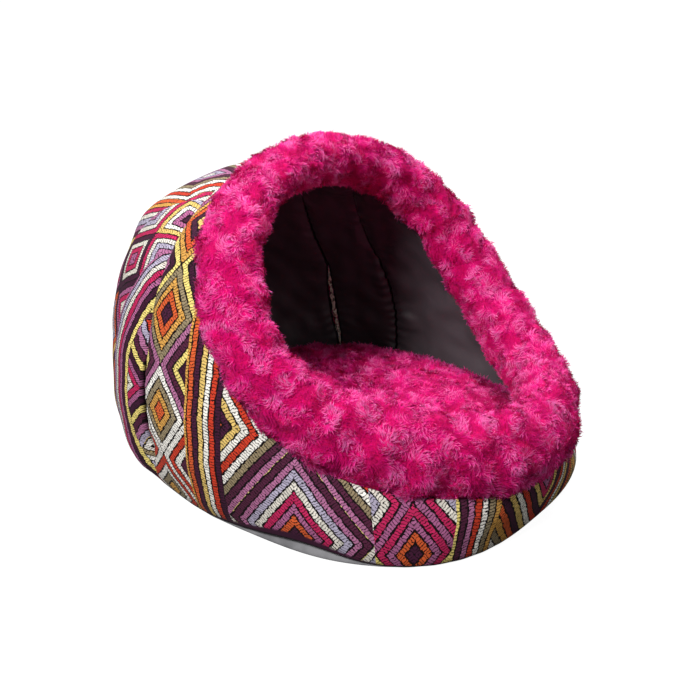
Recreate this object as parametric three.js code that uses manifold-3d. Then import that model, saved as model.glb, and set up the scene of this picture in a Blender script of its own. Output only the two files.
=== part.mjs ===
// A hooded plush pet bed: a padded printed cover, a dark sewn lining, a stuffed plush roll round the
// slanted opening, a grey base cloth and a loose plush cushion. Millimetres, +Z up, the front faces -Y,
// and the origin is the middle of the base on the floor.
import * as THREE from "three";
import { mergeVertices } from "three/addons/utils/BufferGeometryUtils.js";
import Module from "manifold-3d";

const wasm = await Module();
wasm.setup();

// Base outline, a rounded oval
const BASE_HALF_WIDTH = 180;
const BASE_HALF_LENGTH = 216;
const BASE_POWER = { front: 2.8, back: 2.1 };

// Opening: a bent oval from the front lip to the top of the hood
const LIP = { y: -207.5, z: 82.5 };
const HOOD = { y: 70.5, z: 296.5 };
const BEND = { y: 13.5, z: 136 };
const BEND_SWAY = { y: 28.5, z: -14 };
const OPENING_HALF_WIDTH = 181.5;
const OPENING_EGG = -0.072;
const OPENING_SQUARE = 0.03;
const OPENING_SKEW = { y: 0.6, z: -7.3 };

// Wall: how far it leans and bulges between the base and the opening, as shares of its height
const RISE = { front: 0.347, back: 0.343 };
const BULGE = { front: 0.105, back: 0.235 };
const LEAVE = { front: 0.303, back: 0.541, side: 0.094, down: 0.3 };
const TUCK_DEPTH = 1.5;
const TUCK_SHARE = 0.08;

// Cloth and padding
const COVER_THICK = 9;
const LINING_THICK = 2;
const SEAM_PINCH = 6;
const SEAM_PINCH_WIDTH = { side: 9, back: 16 };
const SEAM_PINCH_FOOT = 30;
const BACK_PUFF = { all: 3.5, low: 5, lowAt: 42, lowSpread: 45, foot: 14, fadeFrom: 200, fadeTo: 270 };
const GAP = 0.3;
const COVER_SPARE = 4;
const BACK_SEAM_Y = 122;
const SEAM_ROOM = 3;

// Base cloth: its edge shows most under the front left of the cover
const BASE_THICK = 5;
const HEM_LOW = 3;
const HEM_LIFT = 5;
const HEM_LIFT_AT = -66;
const HEM_LIFT_SPREAD = 26;
const BASE_EDGE_ROUND = 3;
const BASE_FACETS = 56;

// Plush roll
const ROLL_RADIUS = 30.2;
const ROLL_RADIUS_LIP = 2.3;
const ROLL_OVAL = { wide: 0.016, wideLip: -0.103, tallLip: 0.137 };
const ROLL_SAG = { at: -50, spread: 30, grow: 7, inward: 6, upward: 1 };
const ROLL_FACETS = { along: 120, section: 18 };
const PLUSH_LUMP = 2.2;
const ROLL_WAVES = [
  [27, 1],
  [-14, 3],
  [-13, -4],
];

// Loose cushion
const CUSHION = { halfWidth: 168, front: 168, back: 190, waist: 28, crown: 80, edge: 35, foot: 0.8, peak: -27 };
const CUSHION_FLOOR = BASE_THICK + GAP;
const CUSHION_FACETS = 60;
const CUSHION_SPAN = 380;
const CUSHION_WAVES = [
  [7, 0],
  [-3.5, 6.1],
  [-3.5, -6.1],
];

// Lining seams, each a row of places from the floor up: angle round the bed and share of the wall's height
const SEAM_NEAR = [
  { angle: 104.5, share: 0 },
  { angle: 105.8, share: 0.12 },
  { angle: 107.5, share: 0.23 },
  { angle: 109.2, share: 0.32 },
  { angle: 113.2, share: 0.43 },
  { angle: 118, share: 0.52 },
  { angle: 123.8, share: 0.59 },
  { angle: 134, share: 0.76 },
  { angle: 146, share: 1 },
];
const SEAM_FAR = [
  { angle: 122.5, share: 0 },
  { angle: 124.2, share: 0.14 },
  { angle: 126, share: 0.21 },
  { angle: 128.5, share: 0.31 },
  { angle: 131, share: 0.41 },
  { angle: 136.2, share: 0.5 },
  { angle: 148, share: 0.72 },
  { angle: 160, share: 1 },
];
const SLIT = { low: 0.06, high: 0.38, halfWidth: 2.8, shown: 0.75, thick: 1.4 };
const LINING_FOLD = 2.2;

const RAD = Math.PI / 180;
const TURN = 2 * Math.PI;
const lerp = THREE.MathUtils.lerp;
const clamp01 = (x) => Math.min(1, Math.max(0, x));
const bell = (x, spread) => Math.exp(-((x / spread) ** 2));
const signedPower = (x, p) => Math.sign(x) * Math.abs(x) ** p;

// How square the base outline is at angle t: squarer at the front corners than behind
function basePower(t) {
  return lerp(BASE_POWER.back, BASE_POWER.front, THREE.MathUtils.smoothstep(Math.cos(t), -0.35, 0.55));
}

// A point of the base outline at angle t: 0 is the front, a quarter turn is +X
function baseAt(t) {
  const p = 2 / basePower(t);
  return new THREE.Vector3(
    BASE_HALF_WIDTH * signedPower(Math.sin(t), p),
    -BASE_HALF_LENGTH * signedPower(Math.cos(t), p),
    0,
  );
}

// A point of the opening's edge, the middle of the plush roll
function rimAt(t) {
  const q = (1 - Math.cos(t)) / 2;
  const sway = 4 * q * (1 - q) * (1 - 2 * q);
  const bend = (a, b, c) => (1 - q) ** 2 * a + 2 * q * (1 - q) * b + q * q * c;
  return new THREE.Vector3(
    OPENING_HALF_WIDTH * Math.sin(t) * (1 + OPENING_EGG * Math.cos(t) + OPENING_SQUARE * Math.cos(2 * t)),
    bend(LIP.y, BEND.y, HOOD.y) + sway * BEND_SWAY.y + OPENING_SKEW.y * Math.sin(t),
    bend(LIP.z, BEND.z, HOOD.z) + sway * BEND_SWAY.z + OPENING_SKEW.z * Math.sin(t),
  );
}

// A point of the cover's outer face at angle t and share v of the way from the floor to the opening
function wallAt(t, v) {
  const base = baseAt(t);
  const rim = rimAt(t);
  const q = (1 - Math.cos(t)) / 2;
  const span = base.distanceTo(rim);
  const outward = new THREE.Vector3(Math.sin(t), -Math.cos(t), 0);
  const low = base
    .clone()
    .addScaledVector(outward, span * lerp(BULGE.front, BULGE.back, q))
    .add(new THREE.Vector3(0, 0, span * lerp(RISE.front, RISE.back, q)));
  const high = rim.clone().addScaledVector(
    new THREE.Vector3(
      Math.sin(t) * LEAVE.side,
      q * q * LEAVE.back - (1 - q) * LEAVE.front,
      -(1 - q) * LEAVE.down,
    ),
    span,
  );
  const point = new THREE.CubicBezierCurve3(base, low, high, rim).getPoint(clamp01(v));
  const tuck = Math.max(0, 1 - v / TUCK_SHARE) ** 2;
  return point.addScaledVector(outward, -TUCK_DEPTH * tuck);
}

function wallNormalAt(t, v) {
  const step = 0.004;
  const v0 = Math.max(0, v - step);
  const v1 = Math.min(1, v + step);
  const along = wallAt(t + step, v).sub(wallAt(t - step, v));
  const up = wallAt(t, v1).sub(wallAt(t, v0));
  return along.cross(up).normalize();
}

// The wall moved inwards by a depth
function insideAt(t, v, depth) {
  return wallAt(t, v).addScaledVector(wallNormalAt(t, v), -depth);
}

// Height of the cover's hem above the floor
function hemAt(t) {
  const degrees = THREE.MathUtils.euclideanModulo(t / RAD - HEM_LIFT_AT + 180, 360) - 180;
  return HEM_LOW + HEM_LIFT * bell(degrees, HEM_LIFT_SPREAD);
}

// The share of the wall at which its face reaches a height
function shareAtHeight(t, height) {
  let low = 0;
  let high = 0.5;
  for (let i = 0; i < 24; i++) {
    const middle = (low + high) / 2;
    if (wallAt(t, middle).z < height) low = middle;
    else high = middle;
  }
  return (low + high) / 2;
}

// The share of the wall at which it leaves the back for good, on an upright plane at y
function planeShare(t, y) {
  let low = 0.3;
  let high = 1;
  for (let i = 0; i < 24; i++) {
    const middle = (low + high) / 2;
    if (wallAt(t, middle).y > y) low = middle;
    else high = middle;
  }
  return (low + high) / 2;
}

// The angle at which the wall crosses an upright plane at y, at a share of its height, on side +1 or -1
function planeAngle(v, side, y) {
  let low = 60;
  let high = 175;
  for (let i = 0; i < 24; i++) {
    const middle = (low + high) / 2;
    if (wallAt(side * middle * RAD, v).y < y) low = middle;
    else high = middle;
  }
  return (side * (low + high) * RAD) / 2;
}

// A closed skin over a grid of points: rows of equal length, joined in a ring where asked
function gridFaces(rows, wrapColumns, wrapRows) {
  const height = rows.length;
  const width = rows[0].length;
  const index = [];
  const id = (i, j) => (i % height) * width + (j % width);
  for (let i = 0; i < height - (wrapRows ? 0 : 1); i++)
    for (let j = 0; j < width - (wrapColumns ? 0 : 1); j++)
      index.push(
        id(i, j), id(i, j + 1), id(i + 1, j + 1),
        id(i, j), id(i + 1, j + 1), id(i + 1, j),
      );
  return index;
}

function geometryOf(points, index) {
  const geometry = new THREE.BufferGeometry().setFromPoints(points);
  geometry.setIndex(index);
  return mergeVertices(geometry, 1e-4);
}

// A ring-shaped or tubular solid: every row is a closed section, and the rows close on each other
function ringSolid(rows) {
  return geometryOf(rows.flat(), gridFaces(rows, true, true));
}

// Closed sections across the slab between two grids of the same size
function slabSections(outer, inner) {
  return outer.map((row, i) => [...row, ...[...inner[i]].reverse()]);
}

// A slab between two grids of the same size, with straight edges
function slabSolid(outer, inner) {
  const sections = slabSections(outer, inner);
  const index = gridFaces(sections, true, false);
  const width = outer[0].length;
  const cap = (i, flip) => {
    const start = i * 2 * width;
    for (let j = 0; j < width - 1; j++) {
      const a = start + j;
      const b = start + j + 1;
      const c = start + 2 * width - 2 - j;
      const d = start + 2 * width - 1 - j;
      const faces = flip ? [a, c, b, a, d, c] : [a, b, c, a, c, d];
      index.push(...faces);
    }
  };
  cap(0, true);
  cap(outer.length - 1, false);
  return geometryOf(sections.flat(), index);
}

// A round solid: rings of points from the middle of the underside to the middle of the top
function roundSolid(bottom, rings, top) {
  const width = rings[0].length;
  const index = gridFaces(rings, true, false);
  const points = [...rings.flat(), bottom, top];
  const last = (rings.length - 1) * width;
  for (let j = 0; j < width; j++) {
    const next = (j + 1) % width;
    index.push(points.length - 2, next, j);
    index.push(points.length - 1, last + j, last + next);
  }
  return geometryOf(points, index);
}

function toManifold(geometry) {
  const clean = geometry.clone();
  clean.deleteAttribute("normal");
  clean.deleteAttribute("uv");
  const merged = mergeVertices(clean, 1e-4);
  const solid = new wasm.Manifold(
    new wasm.Mesh({
      numProp: 3,
      vertProperties: new Float32Array(merged.attributes.position.array),
      triVerts: new Uint32Array(merged.index.array),
    }),
  );
  return solid.volume() < 0 ? toManifold(turnedOut(merged)) : solid;
}

function turnedOut(geometry) {
  const index = [...geometry.index.array];
  for (let i = 0; i < index.length; i += 3) [index[i + 1], index[i + 2]] = [index[i + 2], index[i + 1]];
  return geometry.clone().setIndex(index);
}

function fromManifold(solid) {
  const mesh = solid.getMesh();
  const geometry = new THREE.BufferGeometry();
  geometry.setAttribute("position", new THREE.BufferAttribute(new Float32Array(mesh.vertProperties), 3));
  geometry.setIndex(new THREE.BufferAttribute(new Uint32Array(mesh.triVerts), 1));
  return geometry;
}

function boxSolid(low, high) {
  const size = new THREE.Vector3().subVectors(high, low);
  const middle = new THREE.Vector3().addVectors(low, high).multiplyScalar(0.5);
  return toManifold(
    new THREE.BoxGeometry(size.x, size.y, size.z).translate(middle.x, middle.y, middle.z),
  );
}

const steps = (count, from = 0, to = 1) =>
  Array.from({ length: count + 1 }, (_, i) => lerp(from, to, i / count));

// Soft lumps of the stuffing and its rosette pile: three sets of waves across each other, given as
// whole turns of the two angles a and b, with a slow drift so that no two lumps are alike
function lumps(a, b, waves) {
  const drift = 0.8 * Math.sin(3 * a + b) + 0.6 * Math.sin(5 * a - 2 * b + 1);
  const sum = waves.reduce((all, [i, j], k) => all + Math.cos(i * a + j * b + k * drift), 0);
  return (PLUSH_LUMP * sum) / 2;
}

// Radius of the plush roll round the opening, fattest at the lip
function rollRadiusAt(t) {
  return ROLL_RADIUS + ROLL_RADIUS_LIP * Math.cos(t);
}

// The roll lies fuller and further in at its front left: how much at angle t, at most 1
function rollSagAt(t) {
  const degrees = THREE.MathUtils.euclideanModulo(t / RAD - ROLL_SAG.at + 180, 360) - 180;
  return bell(degrees, ROLL_SAG.spread);
}

// Even places round the opening, each with the share of the way that lies behind it as an angle
function evenRim(count) {
  const fine = steps(1440, 0, TURN);
  const run = [0];
  for (let i = 1; i < fine.length; i++) run.push(run[i - 1] + rimAt(fine[i]).distanceTo(rimAt(fine[i - 1])));
  return steps(count).slice(0, -1).map((s) => {
    const i = Math.max(1, run.findIndex((length) => length >= s * run.at(-1)));
    const part = (s * run.at(-1) - run[i - 1]) / (run[i] - run[i - 1]);
    return { t: lerp(fine[i - 1], fine[i], part), turn: s * TURN };
  });
}

// The roll's section: an oval across the line of the opening, fattest at the lip
function sectionAt(t, angle, extra, lump) {
  const ahead = rimAt(t + 0.01).sub(rimAt(t - 0.01)).normalize();
  const side = ahead.clone().cross(new THREE.Vector3(0, 0.4, 1)).normalize();
  const up = ahead.clone().cross(side);
  const wide = 1 + ROLL_OVAL.wide + ROLL_OVAL.wideLip * Math.cos(t);
  const tall = 1 + ROLL_OVAL.tallLip * Math.cos(t);
  const sag = rollSagAt(t);
  const radius = rollRadiusAt(t) + ROLL_SAG.grow * sag;
  return rimAt(t)
    .addScaledVector(side, -ROLL_SAG.inward * sag)
    .addScaledVector(up, -ROLL_SAG.upward * sag)
    .addScaledVector(side, (radius * wide + extra + lump) * Math.cos(angle))
    .addScaledVector(up, (radius * tall + extra + lump) * Math.sin(angle));
}

function rollSolid(extra) {
  const round = steps(ROLL_FACETS.section, 0, TURN).slice(0, -1);
  const rows = evenRim(ROLL_FACETS.along).map(({ t, turn }) =>
    round.map((angle) => sectionAt(t, angle, extra, lumps(turn, angle, ROLL_WAVES))),
  );
  return toManifold(ringSolid(rows));
}

// How far the seam draws the cover in, at a distance behind it and a height above the floor
function seamPinch(beyond, height) {
  const width = beyond > 0 ? SEAM_PINCH_WIDTH.back : SEAM_PINCH_WIDTH.side;
  return SEAM_PINCH * Math.exp(-Math.abs(beyond) / width) * clamp01(height / SEAM_PINCH_FOOT);
}

// How far the stuffing of the back panel swells behind its seam
function backPuff(beyond, height) {
  const swell = BACK_PUFF.all + BACK_PUFF.low * bell(height - BACK_PUFF.lowAt, BACK_PUFF.lowSpread);
  const ends =
    clamp01(height / BACK_PUFF.foot) *
    (1 - THREE.MathUtils.smoothstep(height, BACK_PUFF.fadeFrom, BACK_PUFF.fadeTo));
  return swell * ends * (1 - Math.exp(-Math.max(0, beyond) / SEAM_PINCH_WIDTH.back));
}

// The cover between its outer face along a grid of places, pinched in at the back seam, and the lining's
// room: a slab with two edges, or one that closes on itself round the bed
function coverSlab(grid, inside, closed) {
  const outer = grid.map((row) =>
    row.map(({ t, v }) => {
      const beyond = wallAt(t, v).y - BACK_SEAM_Y;
      const height = wallAt(t, v).z;
      return insideAt(t, v, seamPinch(beyond, height) - backPuff(beyond, height));
    }),
  );
  const inner = grid.map((row) => row.map(({ t, v }) => insideAt(t, v, COVER_THICK + COVER_SPARE)));
  const slab = closed ? ringSolid(slabSections(outer, inner)) : slabSolid(outer, inner);
  return toManifold(slab).subtract(inside);
}

// Where the back seam turns from its upright sides into its arch over the hood
const ARCH_SHARE = 0.5;
const SEAM_FOOT = 0.02;
const easeOut = (s) => 1 - (1 - s) ** 1.6;

// Places along the side panel's lower edge and on past the back seam, from the front to the top of the
// hood on side +1 or -1, each with the place on the opening that the cloth runs up to
function sidePanelColumns(side) {
  const edge = BACK_SEAM_Y + SEAM_ROOM;
  const foot = planeAngle(SEAM_FOOT, side, edge);
  const shoulder = planeAngle(ARCH_SHARE, side, edge);
  const alongFloor = steps(15).map((s) => ({ t: foot * easeOut(s), v: null, up: side * 96 * easeOut(s) * RAD }));
  const alongSide = steps(6).slice(1).map((s) => {
    const v = lerp(SEAM_FOOT, ARCH_SHARE, s);
    return { t: planeAngle(v, side, edge), v, up: side * lerp(96, 122, s) * RAD };
  });
  const overTop = steps(8).slice(1).map((s) => {
    const t = lerp(shoulder, side * Math.PI, s);
    return { t, v: planeShare(t, edge), up: side * lerp(122, 180, s) * RAD };
  });
  return [...alongFloor, ...alongSide, ...overTop];
}

function sidePanel(inside, roll, behind) {
  const right = sidePanelColumns(1).slice(0, -1);
  const left = sidePanelColumns(-1).slice(1).reverse();
  const rows = [0, 0.035, 0.08, 0.15, 0.24, 0.35, 0.48, 0.62, 0.78, 1];
  const grid = [...left, ...right].map(({ t, v, up }) => {
    const low = v ?? shareAtHeight(t, hemAt(t) + GAP);
    return rows.map((s) => ({ t: lerp(t, up, s ** 1.3), v: lerp(low, 1, s) }));
  });
  return coverSlab(grid, inside, true).subtract(roll).subtract(behind);
}

function backPanel(inside, roll, ahead) {
  const edge = BACK_SEAM_Y - SEAM_ROOM;
  const across = [0, 0.02, 0.05, ...steps(14, 0.09, 0.91), 0.95, 0.98, 1];
  const rows = [0, 0.06, 0.14, 0.25, 0.37, 0.5, 0.62, 0.73, 0.83, 0.91, 0.96, 1];
  const grid = across.map((s) =>
    rows.map((w) => {
      const share = Math.max(SEAM_FOOT, w * ARCH_SHARE);
      const t = lerp(planeAngle(share, 1, edge), planeAngle(share, -1, edge) + TURN, s);
      return { t, v: lerp(shareAtHeight(t, hemAt(t) + GAP), planeShare(t, edge), w) };
    }),
  );
  return coverSlab(grid, inside, false).subtract(roll).subtract(ahead);
}

// A seam's angle at a share of the wall's height, from its table
function seamAngle(table, share) {
  const next = Math.max(1, table.findIndex((place) => place.share >= share));
  const [a, b] = [table[next - 1], table[next]];
  return lerp(a.angle, b.angle, clamp01((share - a.share) / (b.share - a.share))) * RAD;
}

// How far the lining stands off the padding: soft pulls that run from the seams
function liningFold(t, v) {
  const degrees = Math.abs(THREE.MathUtils.euclideanModulo(t / RAD + 180, 360) - 180);
  const pulls = Math.sin(degrees * 0.32 + v * 21) * Math.sin(degrees * 0.11 - v * 13 + 1);
  const shelf = bell(v - 0.3 - (110 - degrees) * 0.012, 0.07) * bell(degrees - 100, 16);
  return LINING_FOLD * (0.5 + 0.5 * pulls) * clamp01(v * 4) * clamp01((1 - v) * 4) + 1.6 * shelf;
}

const LINING_DEPTH = COVER_THICK + GAP;
const LINING_FOOT = 0.03;
const LINING_ROWS = 11;
const SEAM_ROUND = 6;
const near = (v) => seamAngle(SEAM_NEAR, v);
const far = (v) => seamAngle(SEAM_FAR, v);

// The lining's panels in turn round the bed, each from one seam to the next
const LINING_PANELS = [
  { name: "lining_sides", from: (v) => -near(v), to: near, columns: 38 },
  { name: "lining_gusset_right", from: near, to: far, columns: 5, slitAfter: true },
  { name: "lining_back", from: far, to: (v) => TURN - far(v), columns: 14, slitBefore: true },
  { name: "lining_gusset_left", from: (v) => TURN - far(v), to: (v) => TURN - near(v), columns: 5 },
];

const liningShares = () => steps(LINING_ROWS, LINING_FOOT, 1);

// How far the slit gapes at a share of the wall's height, at most 1
function slitOpen(v) {
  return Math.sin(Math.PI * clamp01((v - SLIT.low) / (SLIT.high - SLIT.low)));
}

// Half of the room left between two panels, wider along the slit
function seamRoom(v, slit) {
  return (GAP / 2 + (slit ? SLIT.halfWidth * slitOpen(v) : 0)) / BASE_HALF_WIDTH;
}

// The places of one panel along a row, with each one's distance from the nearer seam
function panelRow(panel, v) {
  const from = panel.from(v) + seamRoom(v, panel.slitBefore);
  const to = panel.to(v) - seamRoom(v, panel.slitAfter);
  return steps(panel.columns).map((s) => ({
    t: lerp(from, to, s),
    v,
    edge: Math.min(s, 1 - s) * (to - from) * BASE_HALF_WIDTH,
  }));
}

// A panel of the lining between two seams, drawn in to its seams like sewn cloth
function liningPanel(panel, roll) {
  const rows = liningShares().map((v) => panelRow(panel, v));
  const face = (depth) =>
    rows.map((row) =>
      row.map(({ t, v, edge }) => {
        const full = 1 - bell(edge, SEAM_ROUND);
        return insideAt(t, v, LINING_DEPTH + depth + liningFold(t, v) * full);
      }),
    );
  return toManifold(slabSolid(face(0), face(LINING_THICK))).subtract(roll);
}

// The room inside the padding, with the same facets as the lining that lies against it
function insideRoom() {
  const rings = liningShares().map((v) =>
    LINING_PANELS.flatMap((panel) => panelRow(panel, v)).map(({ t }) => insideAt(t, v, COVER_THICK)),
  );
  return toManifold(roundSolid(new THREE.Vector3(0, 0, 12), rings, new THREE.Vector3(0, -60, 150)));
}

// The strip that shows in the slit, on the rows of the lining beside it
function slitFacing() {
  const rows = liningShares().filter((v) => slitOpen(v) > 0.2);
  const face = (depth) =>
    rows.map((v) => {
      const half = (SLIT.halfWidth * SLIT.shown * slitOpen(v)) / BASE_HALF_WIDTH;
      return [-half, 0, half].map((aside) => insideAt(far(v) + aside, v, LINING_DEPTH + depth));
    });
  return toManifold(slabSolid(face(0), face(SLIT.thick)));
}

function basePanel() {
  const ring = (inset, height) =>
    steps(BASE_FACETS, 0, TURN).slice(0, -1).map((t) => {
      const point = baseAt(t);
      const outward = new THREE.Vector3(Math.sin(t), -Math.cos(t), 0);
      point.addScaledVector(outward, -TUCK_DEPTH - inset);
      point.z = height(t);
      return point;
    });
  const rings = [
    ring(BASE_EDGE_ROUND, () => 0),
    ring(0.9, () => BASE_EDGE_ROUND * 0.3),
    ring(0, (t) => hemAt(t) * 0.5 + 0.4),
    ring(0.6, (t) => hemAt(t) - 0.5),
    ring(2, (t) => hemAt(t)),
    ring(COVER_THICK, (t) => hemAt(t)),
    ring(COVER_THICK + 9, () => BASE_THICK),
  ];
  const middle = (z) => new THREE.Vector3(0, 0, z);
  return toManifold(roundSolid(middle(0), rings, middle(BASE_THICK)));
}

// The cushion: flat where it lies, drawn in at the seam round its waist, crowned and lumpy on top
function cushion(roll) {
  const ring = (share, height, lump) =>
    steps(CUSHION_FACETS, 0, TURN).slice(0, -1).map((t) => {
      const p = 2 / basePower(t);
      const length = Math.cos(t) > 0 ? CUSHION.front : CUSHION.back;
      const x = share * CUSHION.halfWidth * signedPower(Math.sin(t), p);
      const y = lerp(CUSHION.peak, -length * signedPower(Math.cos(t), p), share);
      const bump = lumps((x * TURN) / CUSHION_SPAN, (y * TURN) / CUSHION_SPAN, CUSHION_WAVES);
      return new THREE.Vector3(x, y, height + lump * bump);
    });
  const rings = [
    ring(0.4, CUSHION_FLOOR, 0),
    ring(CUSHION.foot, CUSHION_FLOOR, 0),
    ring(0.91, CUSHION_FLOOR + 3, 0),
    ring(0.98, CUSHION_FLOOR + 11, 0),
    ring(1, CUSHION.waist - 3.5, 0),
    ring(0.985, CUSHION.waist, 0),
    ring(0.997, CUSHION.waist + 3.5, 0),
    ...steps(11).slice(0, -1).map((s) => {
      const share = lerp(0.975, 0.08, s);
      const rise = lerp(CUSHION.crown, CUSHION.edge, share ** 3);
      return ring(share, rise, clamp01(share * 4));
    }),
  ];
  const middle = (z) => new THREE.Vector3(0, CUSHION.peak, z);
  return toManifold(roundSolid(middle(CUSHION_FLOOR), rings, middle(CUSHION.crown))).subtract(roll);
}

function cloth(name, solid, color, roughness) {
  const material = new THREE.MeshStandardMaterial({ color, roughness, metalness: 0 });
  const mesh = new THREE.Mesh(fromManifold(solid), material);
  mesh.name = name;
  return mesh;
}

const FAR = 900;
const roll = rollSolid(0);
const rollRoom = rollSolid(1.2 * GAP);
const behindSeam = boxSolid(
  new THREE.Vector3(-FAR, BACK_SEAM_Y - GAP / 2, -FAR),
  new THREE.Vector3(FAR, FAR, FAR),
);
const aheadOfSeam = boxSolid(
  new THREE.Vector3(-FAR, -FAR, -FAR),
  new THREE.Vector3(FAR, BACK_SEAM_Y + GAP / 2, FAR),
);
const inside = insideRoom();

const bed = new THREE.Group();
bed.add(cloth("plush_roll", roll, 0xe0187c, 0.95));
bed.add(cloth("side_panel", sidePanel(inside, rollRoom, behindSeam), 0x6b3350, 0.9));
bed.add(cloth("back_panel", backPanel(inside, rollRoom, aheadOfSeam), 0x6b3350, 0.9));
for (const panel of LINING_PANELS) bed.add(cloth(panel.name, liningPanel(panel, rollRoom), 0x2a2224, 0.6));
bed.add(cloth("slit_facing", slitFacing(), 0xb8a890, 0.9));
bed.add(cloth("base_panel", basePanel(), 0x7d7d7f, 0.85));
bed.add(cloth("cushion", cushion(rollRoom), 0xe0187c, 0.95));

export default bed;
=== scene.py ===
"""Looks of the hooded plush pet bed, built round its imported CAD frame.

Shapes are worked out in millimetres on the same surfaces as the CAD part and put into the meshes in
metres. Angle t runs round the bed from the front middle (0) over +X, and share v up the wall from the
floor (0) to the middle of the plush roll (1).
"""

import math

import bpy
import numpy as np
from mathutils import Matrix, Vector


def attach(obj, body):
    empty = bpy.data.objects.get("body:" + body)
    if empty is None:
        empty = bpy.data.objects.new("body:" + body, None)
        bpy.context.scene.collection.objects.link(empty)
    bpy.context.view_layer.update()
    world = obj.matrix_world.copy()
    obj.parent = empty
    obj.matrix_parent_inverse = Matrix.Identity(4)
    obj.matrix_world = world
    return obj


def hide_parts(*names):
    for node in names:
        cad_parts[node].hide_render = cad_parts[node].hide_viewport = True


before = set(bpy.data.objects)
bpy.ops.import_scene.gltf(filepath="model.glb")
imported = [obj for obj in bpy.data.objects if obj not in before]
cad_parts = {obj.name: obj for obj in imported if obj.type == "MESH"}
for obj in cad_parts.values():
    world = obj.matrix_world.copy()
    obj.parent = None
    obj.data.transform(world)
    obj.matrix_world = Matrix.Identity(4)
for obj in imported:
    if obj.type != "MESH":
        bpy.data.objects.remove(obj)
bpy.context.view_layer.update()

TURN = 2 * math.pi
RAD = math.pi / 180

# ---------------------------------------------------------------- surfaces of the CAD part

BASE_HALF = (180, 216)
BASE_POWER = (2.1, 2.8)
LIP, HOOD, BEND, BEND_SWAY = (-207.5, 82.5), (70.5, 296.5), (13.5, 136), (28.5, -14)
OPENING_HALF_WIDTH, OPENING_EGG, OPENING_SQUARE, OPENING_SKEW = 181.5, -0.072, 0.03, (0.6, -7.3)
RISE, BULGE = (0.347, 0.343), (0.105, 0.235)
LEAVE_FRONT, LEAVE_BACK, LEAVE_SIDE, LEAVE_DOWN = 0.303, 0.541, 0.094, 0.3
TUCK_DEPTH, TUCK_SHARE = 1.5, 0.08
COVER_THICK, LINING_THICK, BASE_THICK, GAP = 9, 2, 5, 0.3
BACK_SEAM_Y = 122
HEM_LOW, HEM_LIFT, BASE_PEEK = 1.3, 12, 6.5
ARCH_SHARE, SEAM_FOOT = 0.5, 0.02
LINING_DEPTH, LINING_FOOT, LINING_FOLD, SEAM_ROUND = COVER_THICK + GAP, 0.03, 2.2, 6
SLIT_LOW, SLIT_HIGH, SLIT_HALF, SLIT_SHOWN, SLIT_THICK = 0.06, 0.43, 2.8, 0.75, 1.4
SEAM_NEAR = (
    (104.5, 105.8, 107.5, 109.2, 113.2, 118, 123.8, 134, 146),
    (0, 0.12, 0.23, 0.32, 0.43, 0.52, 0.59, 0.76, 1),
)
SEAM_FAR = (
    (122.5, 124.2, 126, 128.5, 131, 136.2, 148, 160),
    (0, 0.14, 0.21, 0.31, 0.41, 0.5, 0.72, 1),
)


def lerp(a, b, s):
    return a + (b - a) * s


def bell(x, spread):
    return np.exp(-((x / spread) ** 2))


def smoothstep(x, low, high):
    s = np.clip((x - low) / (high - low), 0, 1)
    return s * s * (3 - 2 * s)


def signed_power(x, p):
    return np.sign(x) * np.abs(x) ** p


def unit(v):
    return v / np.maximum(np.linalg.norm(v, axis=-1, keepdims=True), 1e-9)


def vec(x, y, z):
    return np.stack(np.broadcast_arrays(x, y, z), axis=-1).astype(float)


def outward_at(t):
    return vec(np.sin(t), -np.cos(t), 0)


def base_power(t):
    return lerp(BASE_POWER[0], BASE_POWER[1], smoothstep(np.cos(t), -0.35, 0.55))


def base_at(t):
    p = 2 / base_power(t)
    return vec(BASE_HALF[0] * signed_power(np.sin(t), p), -BASE_HALF[1] * signed_power(np.cos(t), p), 0)


def rim_at(t):
    q = (1 - np.cos(t)) / 2
    sway = 4 * q * (1 - q) * (1 - 2 * q)

    def bend(i):
        run = (1 - q) ** 2 * LIP[i] + 2 * q * (1 - q) * BEND[i] + q * q * HOOD[i]
        return run + sway * BEND_SWAY[i] + OPENING_SKEW[i] * np.sin(t)

    wide = 1 + OPENING_EGG * np.cos(t) + OPENING_SQUARE * np.cos(2 * t)
    return vec(OPENING_HALF_WIDTH * np.sin(t) * wide, bend(0), bend(1))


def wall_at(t, v):
    t, v = np.broadcast_arrays(np.asarray(t, float), np.asarray(v, float))
    base, rim = base_at(t), rim_at(t)
    q = ((1 - np.cos(t)) / 2)[..., None]
    span = np.linalg.norm(rim - base, axis=-1, keepdims=True)
    outward = outward_at(t)
    low = base + span * (outward * lerp(BULGE[0], BULGE[1], q) + vec(0, 0, 1) * lerp(RISE[0], RISE[1], q))
    flat = q[..., 0]
    high = rim + span * vec(
        np.sin(t) * LEAVE_SIDE,
        flat * flat * LEAVE_BACK - (1 - flat) * LEAVE_FRONT,
        -(1 - flat) * LEAVE_DOWN,
    )
    s = np.clip(v, 0, 1)[..., None]
    point = (1 - s) ** 3 * base + 3 * s * (1 - s) ** 2 * low + 3 * s * s * (1 - s) * high + s**3 * rim
    tuck = np.maximum(0, 1 - v / TUCK_SHARE)[..., None] ** 2
    return point - outward * TUCK_DEPTH * tuck


def wall_normal(t, v):
    step = 0.004
    along = wall_at(t + step, v) - wall_at(t - step, v)
    rise = wall_at(t, np.minimum(1, v + step)) - wall_at(t, np.maximum(0, v - step))
    return unit(np.cross(along, rise))


def hem_shown(t):
    """The hem as seen: lifted at the front left, where the base cloth shows under it."""
    return HEM_LOW + HEM_LIFT * bell((t / RAD + 77 + 180) % 360 - 180, 13)


def bisect(test, low, high, shape):
    """The place between low and high, for each of an array of cases, up to which test holds."""
    low, high = np.full(shape, float(low)), np.full(shape, float(high))
    for _ in range(24):
        middle = (low + high) / 2
        holds = test(middle)
        low, high = np.where(holds, middle, low), np.where(holds, high, middle)
    return (low + high) / 2


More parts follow.
